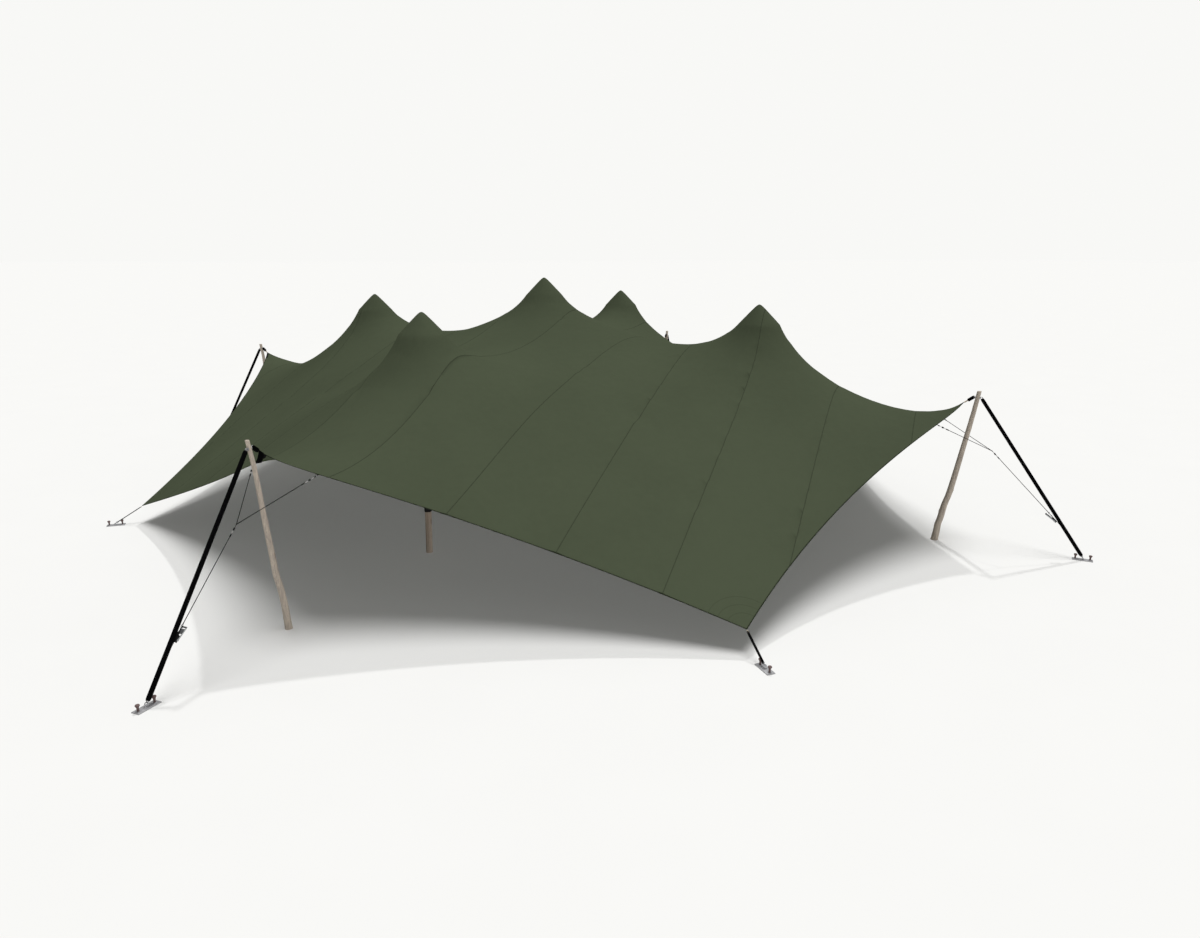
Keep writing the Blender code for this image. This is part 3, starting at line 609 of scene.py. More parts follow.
def smoothBend(bends, share):
    # A smooth line through rows of (height share, shift out, shift aside)
    number = max(k for k in range(len(bends) - 1) if bends[k][0] <= max(share, 0))
    end = len(bends) - 1
    before, first, last, after = (Vector(bends[min(max(number + k, 0), end)]) for k in (-1, 0, 1, 2))
    span = last.x - first.x
    slopeIn = (last - before) * (span / (last.x - before.x))
    slopeOut = (after - first) * (span / (after.x - first.x))
    t = (share - first.x) / span
    point = (first * (1 + 2 * t) * (1 - t) ** 2 + slopeIn * t * (1 - t) ** 2
        + last * t * t * (3 - 2 * t) - slopeOut * t * t * (1 - t))
    return point.y, point.z


def poleMiddle(name, height):
    # Middle and radius of a side pole at a height, in the corner's own directions
    share = height / sidePole["top"]
    out, aside = smoothBend(sidePole["bends"][name], share)
    out += sidePole["footOut"] + (sidePole["topOut"] - sidePole["footOut"]) * share
    footRadius, topRadius = sidePole["girth"][name]
    return Vector((out, aside, height)), footRadius + (topRadius - footRadius) * share


def poleSpot(name, height):
    foot, outward, sideways = cornerFrame(name)
    middle, radius = poleMiddle(name, height)
    return foot + outward * middle.x + sideways * middle.y + up * middle.z, radius


def unevenRadius(seed, share, turn, height, settings):
    # Shallow grooves along the grain, slow swells and a few knots
    across = Vector((cos(turn) * 1.1 + seed * 7.3, sin(turn) * 1.1, height * 0.9))
    grooves = Vector((cos(turn) * 4.0 + seed * 3.1, sin(turn) * 4.0, height * 1.4))
    swell = settings["ridge"] * (noise.noise(across) * 0.9 + noise.noise(grooves) * 0.35)
    knots = 0.0
    for place, side in settings["knots"]:
        away = (turn - side - seed + pi) % tau - pi
        knots += exp(-((share - place - 0.013 * seed) / 0.01) ** 2 - (away / 0.45) ** 2)
    return 1 + swell, knots * settings["knotSize"]


def makeSidePole(name, seed, finish):
    foot, outward, sideways = cornerFrame(name)

    def shapeAt(share, turn):
        middle, radius = poleMiddle(name, share * sidePole["top"])
        grow, knot = unevenRadius(seed, share, turn, share * sidePole["top"], sidePole)
        flare = 1 + 0.08 * exp(-share / 0.02)
        reach = radius * grow * flare + knot
        return middle + around(turn, reach)

    shape = columnShape(sidePole["sides"], sidePole["rings"], shapeAt, facing(foot, up, outward), 0.004)
    newPiece(f"side_pole_{name}_wood", shape, finish, replaced=[f"side_pole_{name}"])


def makeInnerPole(node, peak, seed, finish):
    tip, slope = cloth["tipRound"], cloth["coneSlope"]
    top = peak.z - cloth["thickness"] * 1.5
    head = innerPole["radius"] * 0.9
    neck = top - slope * (hypot(head, tip) - tip)

    def shapeAt(share, turn):
        if share > innerPole["headShare"]:
            reach = head * (1 - share) / (1 - innerPole["headShare"]) + 0.002
            height = top - slope * (hypot(reach, tip) - tip)
            return around(turn, reach, height)
        share /= innerPole["headShare"]
        height = share * neck
        grow, knot = unevenRadius(seed, share, turn, height, innerPole)
        reach = innerPole["radius"] * grow + knot
        blend = min(1.0, (neck - height) / 0.06)
        reach = head + (reach - head) * blend
        swing = innerPole["bend"] * sin(share * pi * 2.3 + seed) * sin(share * pi)
        return Vector((cos(turn) * reach + swing, sin(turn) * reach - swing * 0.6, height))

    place = Matrix.Translation((*peak.xy, 0))
    shape = columnShape(innerPole["sides"], innerPole["rings"], shapeAt, place)
    newPiece(f"{node}_wood", shape, finish, replaced=[node])


# Steel eyes, links and straps

eyes = dict(guyHeight=2.372, tieHeight=2.364, radius=0.016, bar=0.0045, reach=0.022, shank=0.006,
    washer=0.018, washerThick=0.004, nut=0.0095, nutThick=0.006)
link = dict(radius=0.013, bar=0.004, gap=0.0003)
guy = dict(width=0.048, thick=0.047, rings=120, sides=40, anchorOut=1.806, endTaper=0.012, wave=0.0012,
    bands=(0.1, 0.118, 0.9, 0.918), bandHalf=0.003, bandProud=0.0016,
    twist=dict(front_left=0.6, front_right=0.39, back_right=0.39, back_left=0.39))
tie = dict(height=0.048, thick=0.036, strapShare=0.62, toggle=0.01, toggleLap=0.014,
    bands=(0.3, 0.38, 0.88), bandHalf=0.002, bandProud=0.0014)
lowStrap = dict(width=0.029, thick=0.011, anchorOut=0.411, toggleLength=0.018, toggle=0.006,
    bars=(0.08, 0.24, 0.9), barLength=0.0016)
anchor = dict(length=0.28, width=0.105, thick=0.01, pegSpacing=0.2, pegHeight=0.086, lean=0.07,
    pegProfile=((0.0125, 0), (0.0118, 0.03), (0.0125, 0.046), (0.0165, 0.058), (0.0225, 0.067),
        (0.0245, 0.0715), (0.024, 0.0765), (0.0205, 0.0815), (0.014, 0.0848), (0.007, 0.0858)),
    ringRadius=0.022, ringBar=0.005, ringHeight=0.038, lugWidth=0.022, lugDepth=0.02,
    weld=((0, 0), (0.019, 0), (0.0185, 0.0022), (0.0155, 0.0045), (0.012, 0.006), (0, 0.006)),
    collar=((0, 0), (0.017, 0), (0.017, 0.002), (0.015, 0.0035), (0, 0.0035)))
clothDrop = 0.016              # thickness of the CAD's cloth, measured straight down


def squareToPole(name, height):
    _, outward, _ = cornerFrame(name)
    along = (poleSpot(name, height + 0.05)[0] - poleSpot(name, height - 0.05)[0]).normalized()
    return (outward - along * outward.dot(along)).normalized()


def eyeMiddle(name, height, side):
    middle, radius = poleSpot(name, height)
    return middle + squareToPole(name, height) * (side * (radius + eyes["reach"]))


def guyEnds(name):
    foot, outward, _ = cornerFrame(name)
    top = eyeMiddle(name, eyes["guyHeight"], 1)
    low = foot + outward * guy["anchorOut"] + up * anchor["ringHeight"]
    return top, low, (top - low).normalized()


def tieEnds(name):
    top = eyeMiddle(name, eyes["tieHeight"], -1)
    corner = highPoint(name) - up * (clothDrop / 2)
    return top, corner, (corner - top).normalized()


def eyeShapes(name, height, side, pull):
    # Washer, shank, nut and ring of an eye bolt
    middle, radius = poleSpot(name, height)
    centre = eyeMiddle(name, height, side)
    off = squareToPole(name, height) * side
    flat = pull.cross(cornerFrame(name)[2]).normalized()
    back, face, rim = radius * 0.85, radius + eyes["washerThick"], eyes["washer"]
    washer = [(0, back), (rim, back), (rim, face - 0.001), (rim - 0.001, face), (0, face)]
    return [turnedShape(middle, off, washer, 32),
        rodShape(middle + off * (face - 0.002), centre - off * (eyes["radius"] - eyes["bar"] / 2),
            eyes["shank"], 20),
        rodShape(middle + off * (face + 0.0002), middle + off * (face + eyes["nutThick"]),
            eyes["nut"], 6, 0.0008),
        ringShape(centre, flat, pull, eyes["radius"], eyes["bar"], 40, 14)]


def linkShape(centre, hole, across, pull):
    # The link through a ring, and where its strap starts
    middle = centre + pull * (hole - link["bar"] - link["gap"] + link["radius"])
    ring = ringShape(middle, across, pull, link["radius"], link["bar"], 40, 14)
    return ring, middle + pull * link["radius"]


def strapShape(start, end, across, width, thick, taper, sides, rings, wave=0.0, seed=0.0):
    # A padded strap with squared ends; the section is an oblong with small rounded corners
    length = (end - start).length
    squareness = 2 / 9

    def shapeAt(share, turn):
        fromEnd = min(share, 1 - share) * length
        swell = 1.0 if not taper else 0.8 + 0.2 * sin(min(1.0, fromEnd / taper) * pi / 2)
        c, s = cos(turn), sin(turn)
        x = copysign(abs(c) ** squareness, c) * width / 2 * swell
        y = copysign(abs(s) ** squareness, s) * thick / 2 * swell
        shift = wave * noise.noise(Vector((seed, share * length * 2.2, 0))) * sin(share * pi)
        return Vector((x + shift, y + shift * 0.5, share * length))

    return columnShape(sides, rings, shapeAt, facing(start, end - start, across))


def strapBands(kind, start, end, across, width, thick, sides):
    # Stitched bands round a strap
    half = (end - start).normalized() * kind["bandHalf"]
    middles = [start.lerp(end, place) for place in kind["bands"]]
    width, thick = width + kind["bandProud"], thick + kind["bandProud"]
    return [strapShape(middle - half, middle + half, across, width, thick, 0, sides, 2)
        for middle in middles]


def makeGuy(name, seed, finish, steel):
    sideways = cornerFrame(name)[2]
    top, low, pull = guyEnds(name)
    upper, end = linkShape(top, eyes["radius"] - eyes["bar"], sideways, -pull)
    side = pull.cross(sideways).normalized()
    lower, start = linkShape(low, anchor["ringRadius"] - anchor["ringBar"], side, pull)
    over = pull * (link["bar"] + 0.003)
    twist, width, thick, sides = guy["twist"][name], guy["width"], guy["thick"], guy["sides"]
    across = sideways * cos(twist) + side * sin(twist)
    strap = strapShape(start - over, end + over * 3, across, width, thick, guy["endTaper"], sides,
        guy["rings"], guy["wave"], seed)
    bands = strapBands(guy, start, end, across, width, thick, sides)
    newPiece(f"guy_strap_{name}_webbing", [strap] + bands, finish,
        replaced=[f"guy_strap_{name}"])
    newPiece(f"guy_links_{name}", [upper, lower], steel)


def makeTie(name, webbing, steel, wood):
    _, outward, sideways = cornerFrame(name)
    top, corner, along = tieEnds(name)
    ring, _ = linkShape(top, eyes["radius"] - eyes["bar"], sideways, along)
    first, bend = top - along * 0.006, top.lerp(corner, tie["strapShare"])
    shapes = [strapShape(first, bend, sideways, tie["thick"], tie["height"], 0.008, 32, 24)]
    shapes += strapBands(tie, first, bend, sideways, tie["thick"], tie["height"], 32)
    newPiece(f"corner_tie_{name}_webbing", shapes, webbing, replaced=[f"corner_tie_{name}"])
    hardware = [*eyeShapes(name, eyes["guyHeight"], 1, -guyEnds(name)[2]),
        *eyeShapes(name, eyes["tieHeight"], -1, along), ring]
    newPiece(f"pole_eyes_{name}", hardware, steel)
    makeToggle(f"corner_toggle_{name}", bend - along * tie["toggleLap"], corner - outward * 0.002,
        tie["toggle"], wood, webbing)


def makeToggle(name, start, end, radius, wood, webbing):
    # A turned wooden toggle with a waist, and the black cord whipped round it
    length = (end - start).length
    along = (end - start).normalized()
    shares = [(0, 0), (0.7, 0), (0.95, 0.06), (1, 0.16), (1, 0.4), (0.74, 0.46), (0.74, 0.56), (1, 0.62),
        (1, 0.84), (0.9, 0.94), (0.6, 1), (0, 1)]
    profile = [(radius * wide, length * high) for wide, high in shares]
    newPiece(name, turnedShape(start, along, profile, 28), wood, sharp=50)
    first = along.orthogonal().normalized()
    second = along.cross(first)
    cords = [ringShape(start + along * (length * place), first, second, radius * 0.82, radius * 0.14, 28,
            10) for place in (0.485, 0.535)]
    newPiece(f"{name}_cord", cords, webbing)


def makeAnchor(name, middle, outward, pull, steel, pegs):
    sideways = Vector((-outward.y, outward.x, 0))
    thick = anchor["thick"]
    centre = middle + up * anchor["ringHeight"]
    low = centre - pull * anchor["ringRadius"]
    base = Vector((*low.xy, thick - 0.002))
    length, width = anchor["length"], anchor["width"]
    shapes = [plateShape(middle + up * (thick / 2), outward, sideways, length, width, thick, 0.0022, 3),
        ringShape(centre, sideways, pull, anchor["ringRadius"], anchor["ringBar"], 48, 16),
        plateShape((base + low) / 2 + up * 0.002, up, sideways, low.z - base.z + 0.006,
            anchor["lugWidth"], anchor["lugDepth"], 0.0025, 3),
        turnedShape(base + up * 0.001, up, anchor["weld"], 32)]
    heads = []
    for side in (-1, 1):
        foot = middle + outward * (side * anchor["pegSpacing"] / 2)
        shapes.append(turnedShape(foot + up * (thick - 0.001), up, anchor["collar"], 28))
        heads.append(turnedShape(foot + up * 0.003, up + outward * anchor["lean"],
                [(0, 0), *anchor["pegProfile"], (0, anchor["pegHeight"])], 28))
    newPiece(f"anchor_{name}_plate", shapes, steel, replaced=[f"anchor_{name}"])
    newPiece(f"anchor_{name}_pegs", heads, pegs)


def makeLowCorner(name, webbing, steel, wood, pegs):
    outward = Vector((*lowCorners[name], 0))
    sideways = Vector((-outward.y, outward.x, 0))
    corner = lowPoint(name) - up * (clothDrop / 2)
    foot = Vector((*corner.xy, 0)) + outward * lowStrap["anchorOut"]
    centre = foot + up * anchor["ringHeight"]
    pull = (corner - centre).normalized()
    side = pull.cross(sideways).normalized()
    ring, start = linkShape(centre, anchor["ringRadius"] - anchor["ringBar"], side, pull)
    bend = corner - pull * lowStrap["toggleLength"]
    width, thick = lowStrap["width"], lowStrap["thick"]
    shapes = [strapShape(start - pull * (link["bar"] + 0.002), bend, sideways, width, thick, 0, 28, 30)]
    shapes += [plateShape(start.lerp(bend, place), pull, sideways, lowStrap["barLength"], width - 0.004,
            thick + 0.001, 0.0004) for place in lowStrap["bars"]]
    newPiece(f"corner_strap_{name}_webbing", shapes, webbing, replaced=[f"corner_strap_{name}"])
    newPiece(f"corner_link_{name}", [ring], steel)
    makeToggle(f"corner_toggle_{name}", bend - pull * tie["toggleLap"], corner - outward * 0.002,
        lowStrap["toggle"], wood, webbing)
    makeAnchor(name, foot, outward, pull, steel, pegs)


cornerStrip = dict(inset=0.002, thick=0.002, gap=0.0004, stagger=0.0022, wide=0.062, narrow=0.02, top=0.03,
    topHeight=0.0032, grain=6)
looseEnd = dict(corners=["front_left"], width=0.092, longSide=0.168, shortSide=0.118, above=0.012,
    hang=(-0.27, 0.0, -0.96), curl=0.006, thick=0.0024)


def edgeStrip(surface, sector, first, last, width, depth):
    # A strip of webbing that far under the cloth, along its edge and following its surface
    def placeAt(wide, down):
        share = first + (last - first) * wide
        rim = edgePoint(sector, share).xy
        run = edgePoint(sector, share + 0.002).xy - edgePoint(sector, share - 0.002).xy
        across = cornerStrip["inset"] + width * down
        spot, normal = clothPoint(surface, rim + inwardFrom(run, rim) * across)
        return spot - normal * depth, (across - width / 2, 0, share * cornerStrip["grain"])

    return gridShape((40, 8), placeAt, cornerStrip["thick"])


def looseStrip(name):
    # The loose end of the corner's webbing, hanging beside the toggle
    top, tip, along = tieEnds(name)
    beside = along.cross(up).normalized()
    hang = Vector(looseEnd["hang"]).normalized()
    corner = top.lerp(tip, tie["strapShare"]) + beside * (tie["toggle"] + 0.004) - hang * looseEnd["above"]

    def placeAt(wide, down):
        across = looseEnd["width"] * wide
        fall = (looseEnd["longSide"] + (looseEnd["shortSide"] - looseEnd["longSide"]) * wide) * down
        bulge = looseEnd["curl"] * sin(down * pi)
        spot = corner + along * across + hang * fall + beside * bulge
        return spot, (across - looseEnd["width"] / 2, 0, fall)

    return gridShape((12, 16), placeAt, looseEnd["thick"])


def makeCornerWebbing(surface, name, finish):
    # Strips under the cloth along both edges from a high corner, and one on top along the side edge
    corner = rimNames.index(name)
    shapes = []
    for sector, first, last in ((corner - 1, 0.966, 0.999), (corner, 0.001, 0.034)):
        depth = cloth["thickness"] + cornerStrip["gap"] + cornerStrip["stagger"] * (sector % 2)
        wide = cornerStrip["narrow" if sector in endSectors else "wide"]
        shapes.append(edgeStrip(surface, sector, first, last, wide, depth))
        if sector not in endSectors:
            width, height = cornerStrip["top"], cornerStrip["topHeight"]
            shapes.append(edgeStrip(surface, sector, first, last, width, -height))
    if name in looseEnd["corners"]:
        shapes.append(looseStrip(name))
    return newPiece(f"corner_webbing_{name}", shapes, finish)


# Bridles and ratchets

bridle = dict(joint=(0.45, 1.545), ratchetFoot=(1.42, 0.547), sideShare=0.12, endShare=0.105,
    inset=0.03, rope=0.005, bead=0.006, strand=0.0028, pitch=0.03, clampLength=0.052,
    clampWidth=0.03, hookDown=0.012, loop=0.0095, loopBar=0.0028,
    ball=((0, -0.0075), (0.004, -0.0066), (0.0068, -0.0035), (0.0075, 0), (0.0068, 0.0035),
        (0.004, 0.0066), (0, 0.0075)),
    socket=((0, -0.006), (0.004, -0.0048), (0.006, -0.001), (0.006, 0.004), (0.0045, 0.009),
        (0, 0.009)),
    # fittings: from, to and radius, measured back from the joint, then up each leg from its bead
    lowFittings=((0.158, 0.12, 0.008), (0.078, 0.044, 0.01)), lowTube=(0.118, 0.08, 0.0056),
    legFittings=((0.022, 0.05, 0.0078), (0.094, 0.124, 0.011), (0.168, 0.218, 0.008)),
    legTubes=((0.008, 0.092, 0.004), (0.126, 0.166, 0.0046)))
ratchet = dict(length=0.11, depth=0.028, width=0.044, wall=0.004, cheekShare=0.72, hookLength=0.073,
    tailWidth=0.026, tailLap=0.01, spindleAlong=0.03, spindleOut=0.016, spindle=0.007,
    proud=0.002, clear=0.005, armThick=0.004, armWidth=0.016, eyeWall=0.006, leverLength=0.15,
    leverRise=0.026, grip=0.008, gripGrooves=9, teeth=12, wheel=0.015, wheelThick=0.0028,
    bolt=0.0036, boltPlace=0.009, hookLap=0.02, hook=0.0045, hookEye=0.0088, hookBar=0.0032,
    collar=((0, 0), (0.0072, 0), (0.0085, 0.002), (0.0085, 0.007), (0.0065, 0.011), (0, 0.011)),
    roll=((0, -0.0145), (0.0125, -0.0145), (0.0132, -0.0138), (0.0132, 0.0138), (0.0125, 0.0145),
        (0, 0.0145)))


def ratchetFrame(name):
    # Where a point lies that far up the ratchet, out from its back and aside, and its directions
    sideways = cornerFrame(name)[2]
    foot = uprightPoint(name, *bridle["ratchetFoot"])
    along = (uprightPoint(name, *bridle["joint"]) - foot).normalized()
    away = squareBelow(along, sideways)

    def spot(length, out=0.0, aside=0.0):
        return foot + along * length + away * out + sideways * aside

    return spot, along, away, sideways


def ropeShapes(start, end, radius):
    # Three strands laid round each other
    length = (end - start).length
    turns = length / bridle["pitch"]
    strands = []
    for number in range(3):
        def shapeAt(share, turn):
            lay = share * turns * tau + number * tau / 3
            return around(lay, radius - bridle["strand"], share * length) + around(turn, bridle["strand"])
        strands.append(columnShape(6, max(4, int(turns * 9)), shapeAt, facing(start, end - start)))
    return strands


def sleeveShape(start, along, first, last, radius):
    # A round fitting on the rope, with eased ends
    ease = min(0.0025, (last - first) / 4)
    profile = [(0, first), (radius * 0.75, first), (radius * 0.95, first + ease * 0.5),
        (radius, first + ease), (radius, last - ease), (radius * 0.95, last - ease * 0.5),
        (radius * 0.75, last), (0, last)]
    return turnedShape(start, along, profile, 22)


def toothedWheel(middle, axis, radius, thick, teeth):
    bm = bmesh.new()
    bmesh.ops.create_cone(bm, cap_ends=True, segments=teeth * 4, radius1=radius, radius2=radius,
        depth=thick)
    for vert in bm.verts:
        number = round(atan2(vert.co.y, vert.co.x) / tau * teeth * 4) % 4
        vert.co.xy *= (0.8, 0.86, 1.0, 0.99)[number]
    bevelSharp(bm, 0.0003, 1, 60)
    return finishShape(bm, facing(middle, axis))


def makeRatchet(name, black, zinc, webbing):
    spot, along, away, sideways = ratchetFrame(name)
    wall, width, length, depth = (ratchet[key] for key in ("wall", "width", "length", "depth"))
    half, cheek = width / 2, length * ratchet["cheekShare"]
    shapes = [plateShape(spot(length / 2), along, sideways, length, width, wall, 0.001, 3)]
    shapes += [plateShape(spot(cheek / 2, (depth - wall) / 2, side * (half - wall / 2)), along, away, cheek,
            depth, wall, 0.0012, 3) for side in (-1, 1)]
    bolt = [spot(ratchet["boltPlace"], ratchet["boltPlace"], side * (half + 0.0015)) for side in (-1, 0, 1)]
    shapes.append(rodShape(bolt[0], bolt[2], ratchet["bolt"], 20, 0.0006))
    hook = length - ratchet["hookLap"]
    eye = spot(length + ratchet["hookLength"] - bridle["hookDown"])
    shapes += [rodShape(spot(hook), eye - along * 0.009, ratchet["hook"], 20, 0.001),
        ringShape(eye, along, away, ratchet["hookEye"], ratchet["hookBar"], 36, 14),
        turnedShape(spot(hook + 0.018), along, ratchet["collar"], 24)]
    newPiece(f"ratchet_{name}_body", shapes, black, replaced=[f"ratchet_{name}"])
    axis = spot(ratchet["spindleAlong"], ratchet["spindleOut"])
    reach = sideways * (half + ratchet["clear"] + ratchet["armThick"] + ratchet["proud"])
    wheelOut = sideways * (half + ratchet["clear"] / 2)
    parts = [rodShape(axis - reach, axis + reach, ratchet["spindle"] - 0.0003, 24, 0.0012)]
    parts += [toothedWheel(axis + wheelOut * side, sideways, ratchet["wheel"], ratchet["wheelThick"],
            ratchet["teeth"]) for side in (-1, 1)]
    newPiece(f"ratchet_{name}_spindle", parts, zinc)
    # The tail runs down to the top face of the guy strap
    _, low, pull = guyEnds(name)
    under = squareBelow(pull, sideways)
    tail = spot(ratchet["tailLap"])
    end = tail - along * ((low + under * (guy["thick"] / 2) - tail).dot(under) / -along.dot(under))
    coils = [turnedShape(axis, sideways, ratchet["roll"], 36),
        plateBetween(end, tail, sideways, ratchet["tailWidth"], 0.0026, 0.0006),
        ringShape(bolt[1], along, away, 0.0052, 0.0014, 28, 8),
        plateBetween(axis - away * 0.0118, spot(0.088, 0.0045), sideways, ratchet["tailWidth"], 0.0024,
            0.0006)]
    newPiece(f"ratchet_{name}_webbing", coils, webbing)


def makeLever(name, zinc, black):
    spot, along, away, sideways = ratchetFrame(name)
    axis = spot(ratchet["spindleAlong"], ratchet["spindleOut"])
    end = axis + along * ratchet["leverLength"] + away * ratchet["leverRise"]
    direction = (end - axis).normalized()
    upright = direction.cross(sideways).normalized()
    if upright.dot(away) < 0:
        upright.negate()
    thick = ratchet["armThick"]
    offset = ratchet["width"] / 2 + ratchet["clear"] + thick / 2
    inner, outer = ratchet["spindle"] + 0.0006, ratchet["spindle"] + ratchet["eyeWall"]
    ease, half = 0.0008, thick / 2
    rim = [(inner, -half), (outer - ease, -half), (outer, ease - half), (outer, half - ease),
        (outer - ease, half), (inner, half)]
    shapes = []
    for side in (-1, 1):
        eye = axis + sideways * (side * offset)
        shapes += [plateBetween(eye + direction * (inner + 0.0035), eye + (end - axis) + direction * 0.004,
                upright, ratchet["armWidth"], thick, 0.001, 3),
            turnedShape(eye, sideways, rim, 36, True)]
    shapes.append(plateShape(axis + direction * 0.104 + upright * 0.006, direction, sideways, 0.06,
            offset * 2 - thick + 0.001, 0.002, 0.0007))
    body = f"lever_{name}"
    newPiece(f"ratchet_lever_{name}_handle", shapes, zinc, body, [f"ratchet_lever_{name}"])
    reach = sideways * (offset + half)
    whole, radius = (reach * 2).length, ratchet["grip"]
    profile = [(0, 0), (0.0064, 0), (radius, 0.0018)]
    for number in range(ratchet["gripGrooves"]):
        middle = whole * (0.14 + 0.09 * number)
        profile += [(radius, middle - 0.0014), (radius - 0.0009, middle), (radius, middle + 0.0014)]
    profile += [(radius, whole - 0.0018), (0.0064, whole), (0, whole)]
    newPiece(f"ratchet_grip_{name}", turnedShape(end - reach, reach, profile, 28), black, body)


def makeBridle(surface, name, rope, dark, light):
    spot, along, _, sideways = ratchetFrame(name)
    joint = uprightPoint(name, *bridle["joint"])
    eye = spot(ratchet["length"] + ratchet["hookLength"] - bridle["hookDown"])
    loop = eye + along * (ratchet["hookEye"] - ratchet["hookBar"] - 0.003 + bridle["loop"])
    low = loop + along * bridle["loop"]
    whole = (joint - low).length
    ropes = ropeShapes(low, joint - along * 0.156, bridle["rope"])
    ropes += [ringShape(loop, sideways, along, bridle["loop"], bridle["loopBar"], 32, 10),
        rodShape(joint - along * 0.16, joint, 0.0034, 12)]
    darks = [sleeveShape(low, along, -0.001, 0.02, 0.0056)]
    darks += [sleeveShape(low, along, whole - start, whole - end, radius)
        for start, end, radius in bridle["lowFittings"]]
    darks.append(turnedShape(joint, along, bridle["ball"], 24))
    start, end, radius = bridle["lowTube"]
    lights = [sleeveShape(low, along, whole - start, whole - end, radius)]
    corner = rimNames.index(name)
    for sector in sorted((corner - 1, corner), key=lambda sector: sector in endSectors):
        away = bridle["endShare" if sector in endSectors else "sideShare"]
        share = away if sector % 2 else 1 - away
        edge = edgePoint(sector, share).xy
        top, normal = clothPoint(surface, edge - edge.normalized() * bridle["inset"])
        under = top - normal * (cloth["thickness"] + 0.0003)
        bead = top - up * clothDrop - normal * (bridle["bead"] + 0.0006)
        toJoint = (joint - bead).normalized()
        beside = (edgePoint(sector, share + 0.004) - edgePoint(sector, share - 0.004)).normalized()
        thick = (under - bead).dot(normal)
        darks += [plateShape(under - normal * (thick * 0.3), normal, beside, thick * 0.6,
                bridle["clampLength"], bridle["clampWidth"], 0.0022, 3),
            turnedShape(bead, toJoint, bridle["socket"], 22),
            *(sleeveShape(bead, toJoint, *fitting) for fitting in bridle["legFittings"])]
        lights += [sleeveShape(bead, toJoint, *tube) for tube in bridle["legTubes"]]
        ropes += ropeShapes(bead + toJoint * 0.214, joint, bridle["rope"])
    newPiece(f"bridle_{name}_rope", ropes, rope, replaced=[f"bridle_{name}"])
    newPiece(f"bridle_fittings_{name}", darks, dark)
    newPiece(f"bridle_sleeves_{name}", lights, light)


# Finishes

def woodMaterial(name, colour, pale, dark, streak=(70, 70, 2.6), cracks=0.55):
    # Weathered pole wood: streaks and drying cracks along the grain, pale patches and darker knots
    made, tree, shader = newMaterial(name, colour, 0.88, Specular_IOR_Level=0.15)
    grain = grainNoise(tree, streak, 5.0, 0.62)
    broad = grainNoise(tree, (9, 9, 1.1), 3.0)
    finish = blendColours(fadeBetween(grain, 0.3, 0.7), dark, pale)
    finish = blendColours(0.45, finish, colour)
    patch = fadeBetween(broad, 0.35, 0.7)
    finish = blendColours(times(patch, 0.45), finish, pale)
    split = grainNoise(tree, (150, 150, 3.0), 2.0)
    thin = calc("ABSOLUTE", minus(split, 0.5))
    crack = times(fadeBetween(thin, 0.012, 0.0), cracks)
    finish = blendColours(crack, finish, [part * 0.35 for part in dark])
    spots = addNode(tree, "TexVoronoi", {"Vector": placeVector(tree, (6, 6, 2.2)), "Scale": 1.0}).outputs[0]
    knot = times(fadeBetween(spots, 0.16, 0.05), 0.6)
    finish = blendColours(knot, finish, (dark[0] * 0.6, dark[1] * 0.55, dark[2] * 0.5))
    feed(shader, "Base Color", finish)
    height = minus(times(grain, 0.6), times(crack, 0.8))
    setBump(shader, height, 0.55, 0.003)
    return made


def webbingMaterial(name, colour, pitch):
    # Woven strap: chevron ribs in the shape's own coordinates, with dust
    made, tree, shader = newMaterial(name, colour, 0.95, Specular_IOR_Level=0.04)
    own = ownPlace(tree)
    lean = calc("ABSOLUTE", minus(calc("PINGPONG", own[0], pitch * 4), pitch * 2))
    ribs = calc("SINE", times(plus(own[2], lean), tau / pitch))
    wale = calc("SINE", times(plus(own[0], own[1]), tau / (pitch * 0.9)))
    weave = times(ribs, wale)
    dust = grainNoise(tree, (18, 18, 6), 4.0, 0.6)
    tone = plus(times(weave, 0.22), fadeBetween(dust, 0.3, 0.75, 0.7, 1.6))
    feed(shader, "Base Color", tinted(colour, tone))
    setBump(shader, weave, 0.6, 0.0008)
    return made


def metalMaterial(name, colour, roughness, metallic, stain, cover, scale=38.0):
    # Worn metal: cloudy zinc or paint, small stains, fine scratches along the shape
    made, tree, shader = newMaterial(name, colour, roughness, metallic, Specular_IOR_Level=0.35)
    cloud = noiseFrom(placeVector(tree, (1, 1, 1)), scale, 5.0, 0.62)
    scratch = grainNoise(tree, (420, 420, 12), 2.0)
    tone = plus(fadeBetween(cloud, 0.25, 0.75, 0.8, 1.12), fadeBetween(scratch, 0.35, 0.7, -0.06, 0.06))
    finish = tinted(colour, tone)
    spots = noiseFrom(placeVector(tree, (1, 1, 1)), scale * 2.3, 6.0, 0.7)
    worn = times(fadeBetween(spots, 0.58, 0.72), cover)
    feed(shader, "Base Color", blendColours(worn, finish, stain))
    dull = plus(fadeBetween(cloud, 0.2, 0.8, roughness - 0.08, roughness + 0.1), times(worn, 0.25))
    feed(shader, "Roughness", dull)
    if metallic:
        feed(shader, "Metallic", times(minus(1.0, worn), metallic))
    setBump(shader, plus(scratch, times(spots, 0.8)), 0.18, 0.0006)
    return made


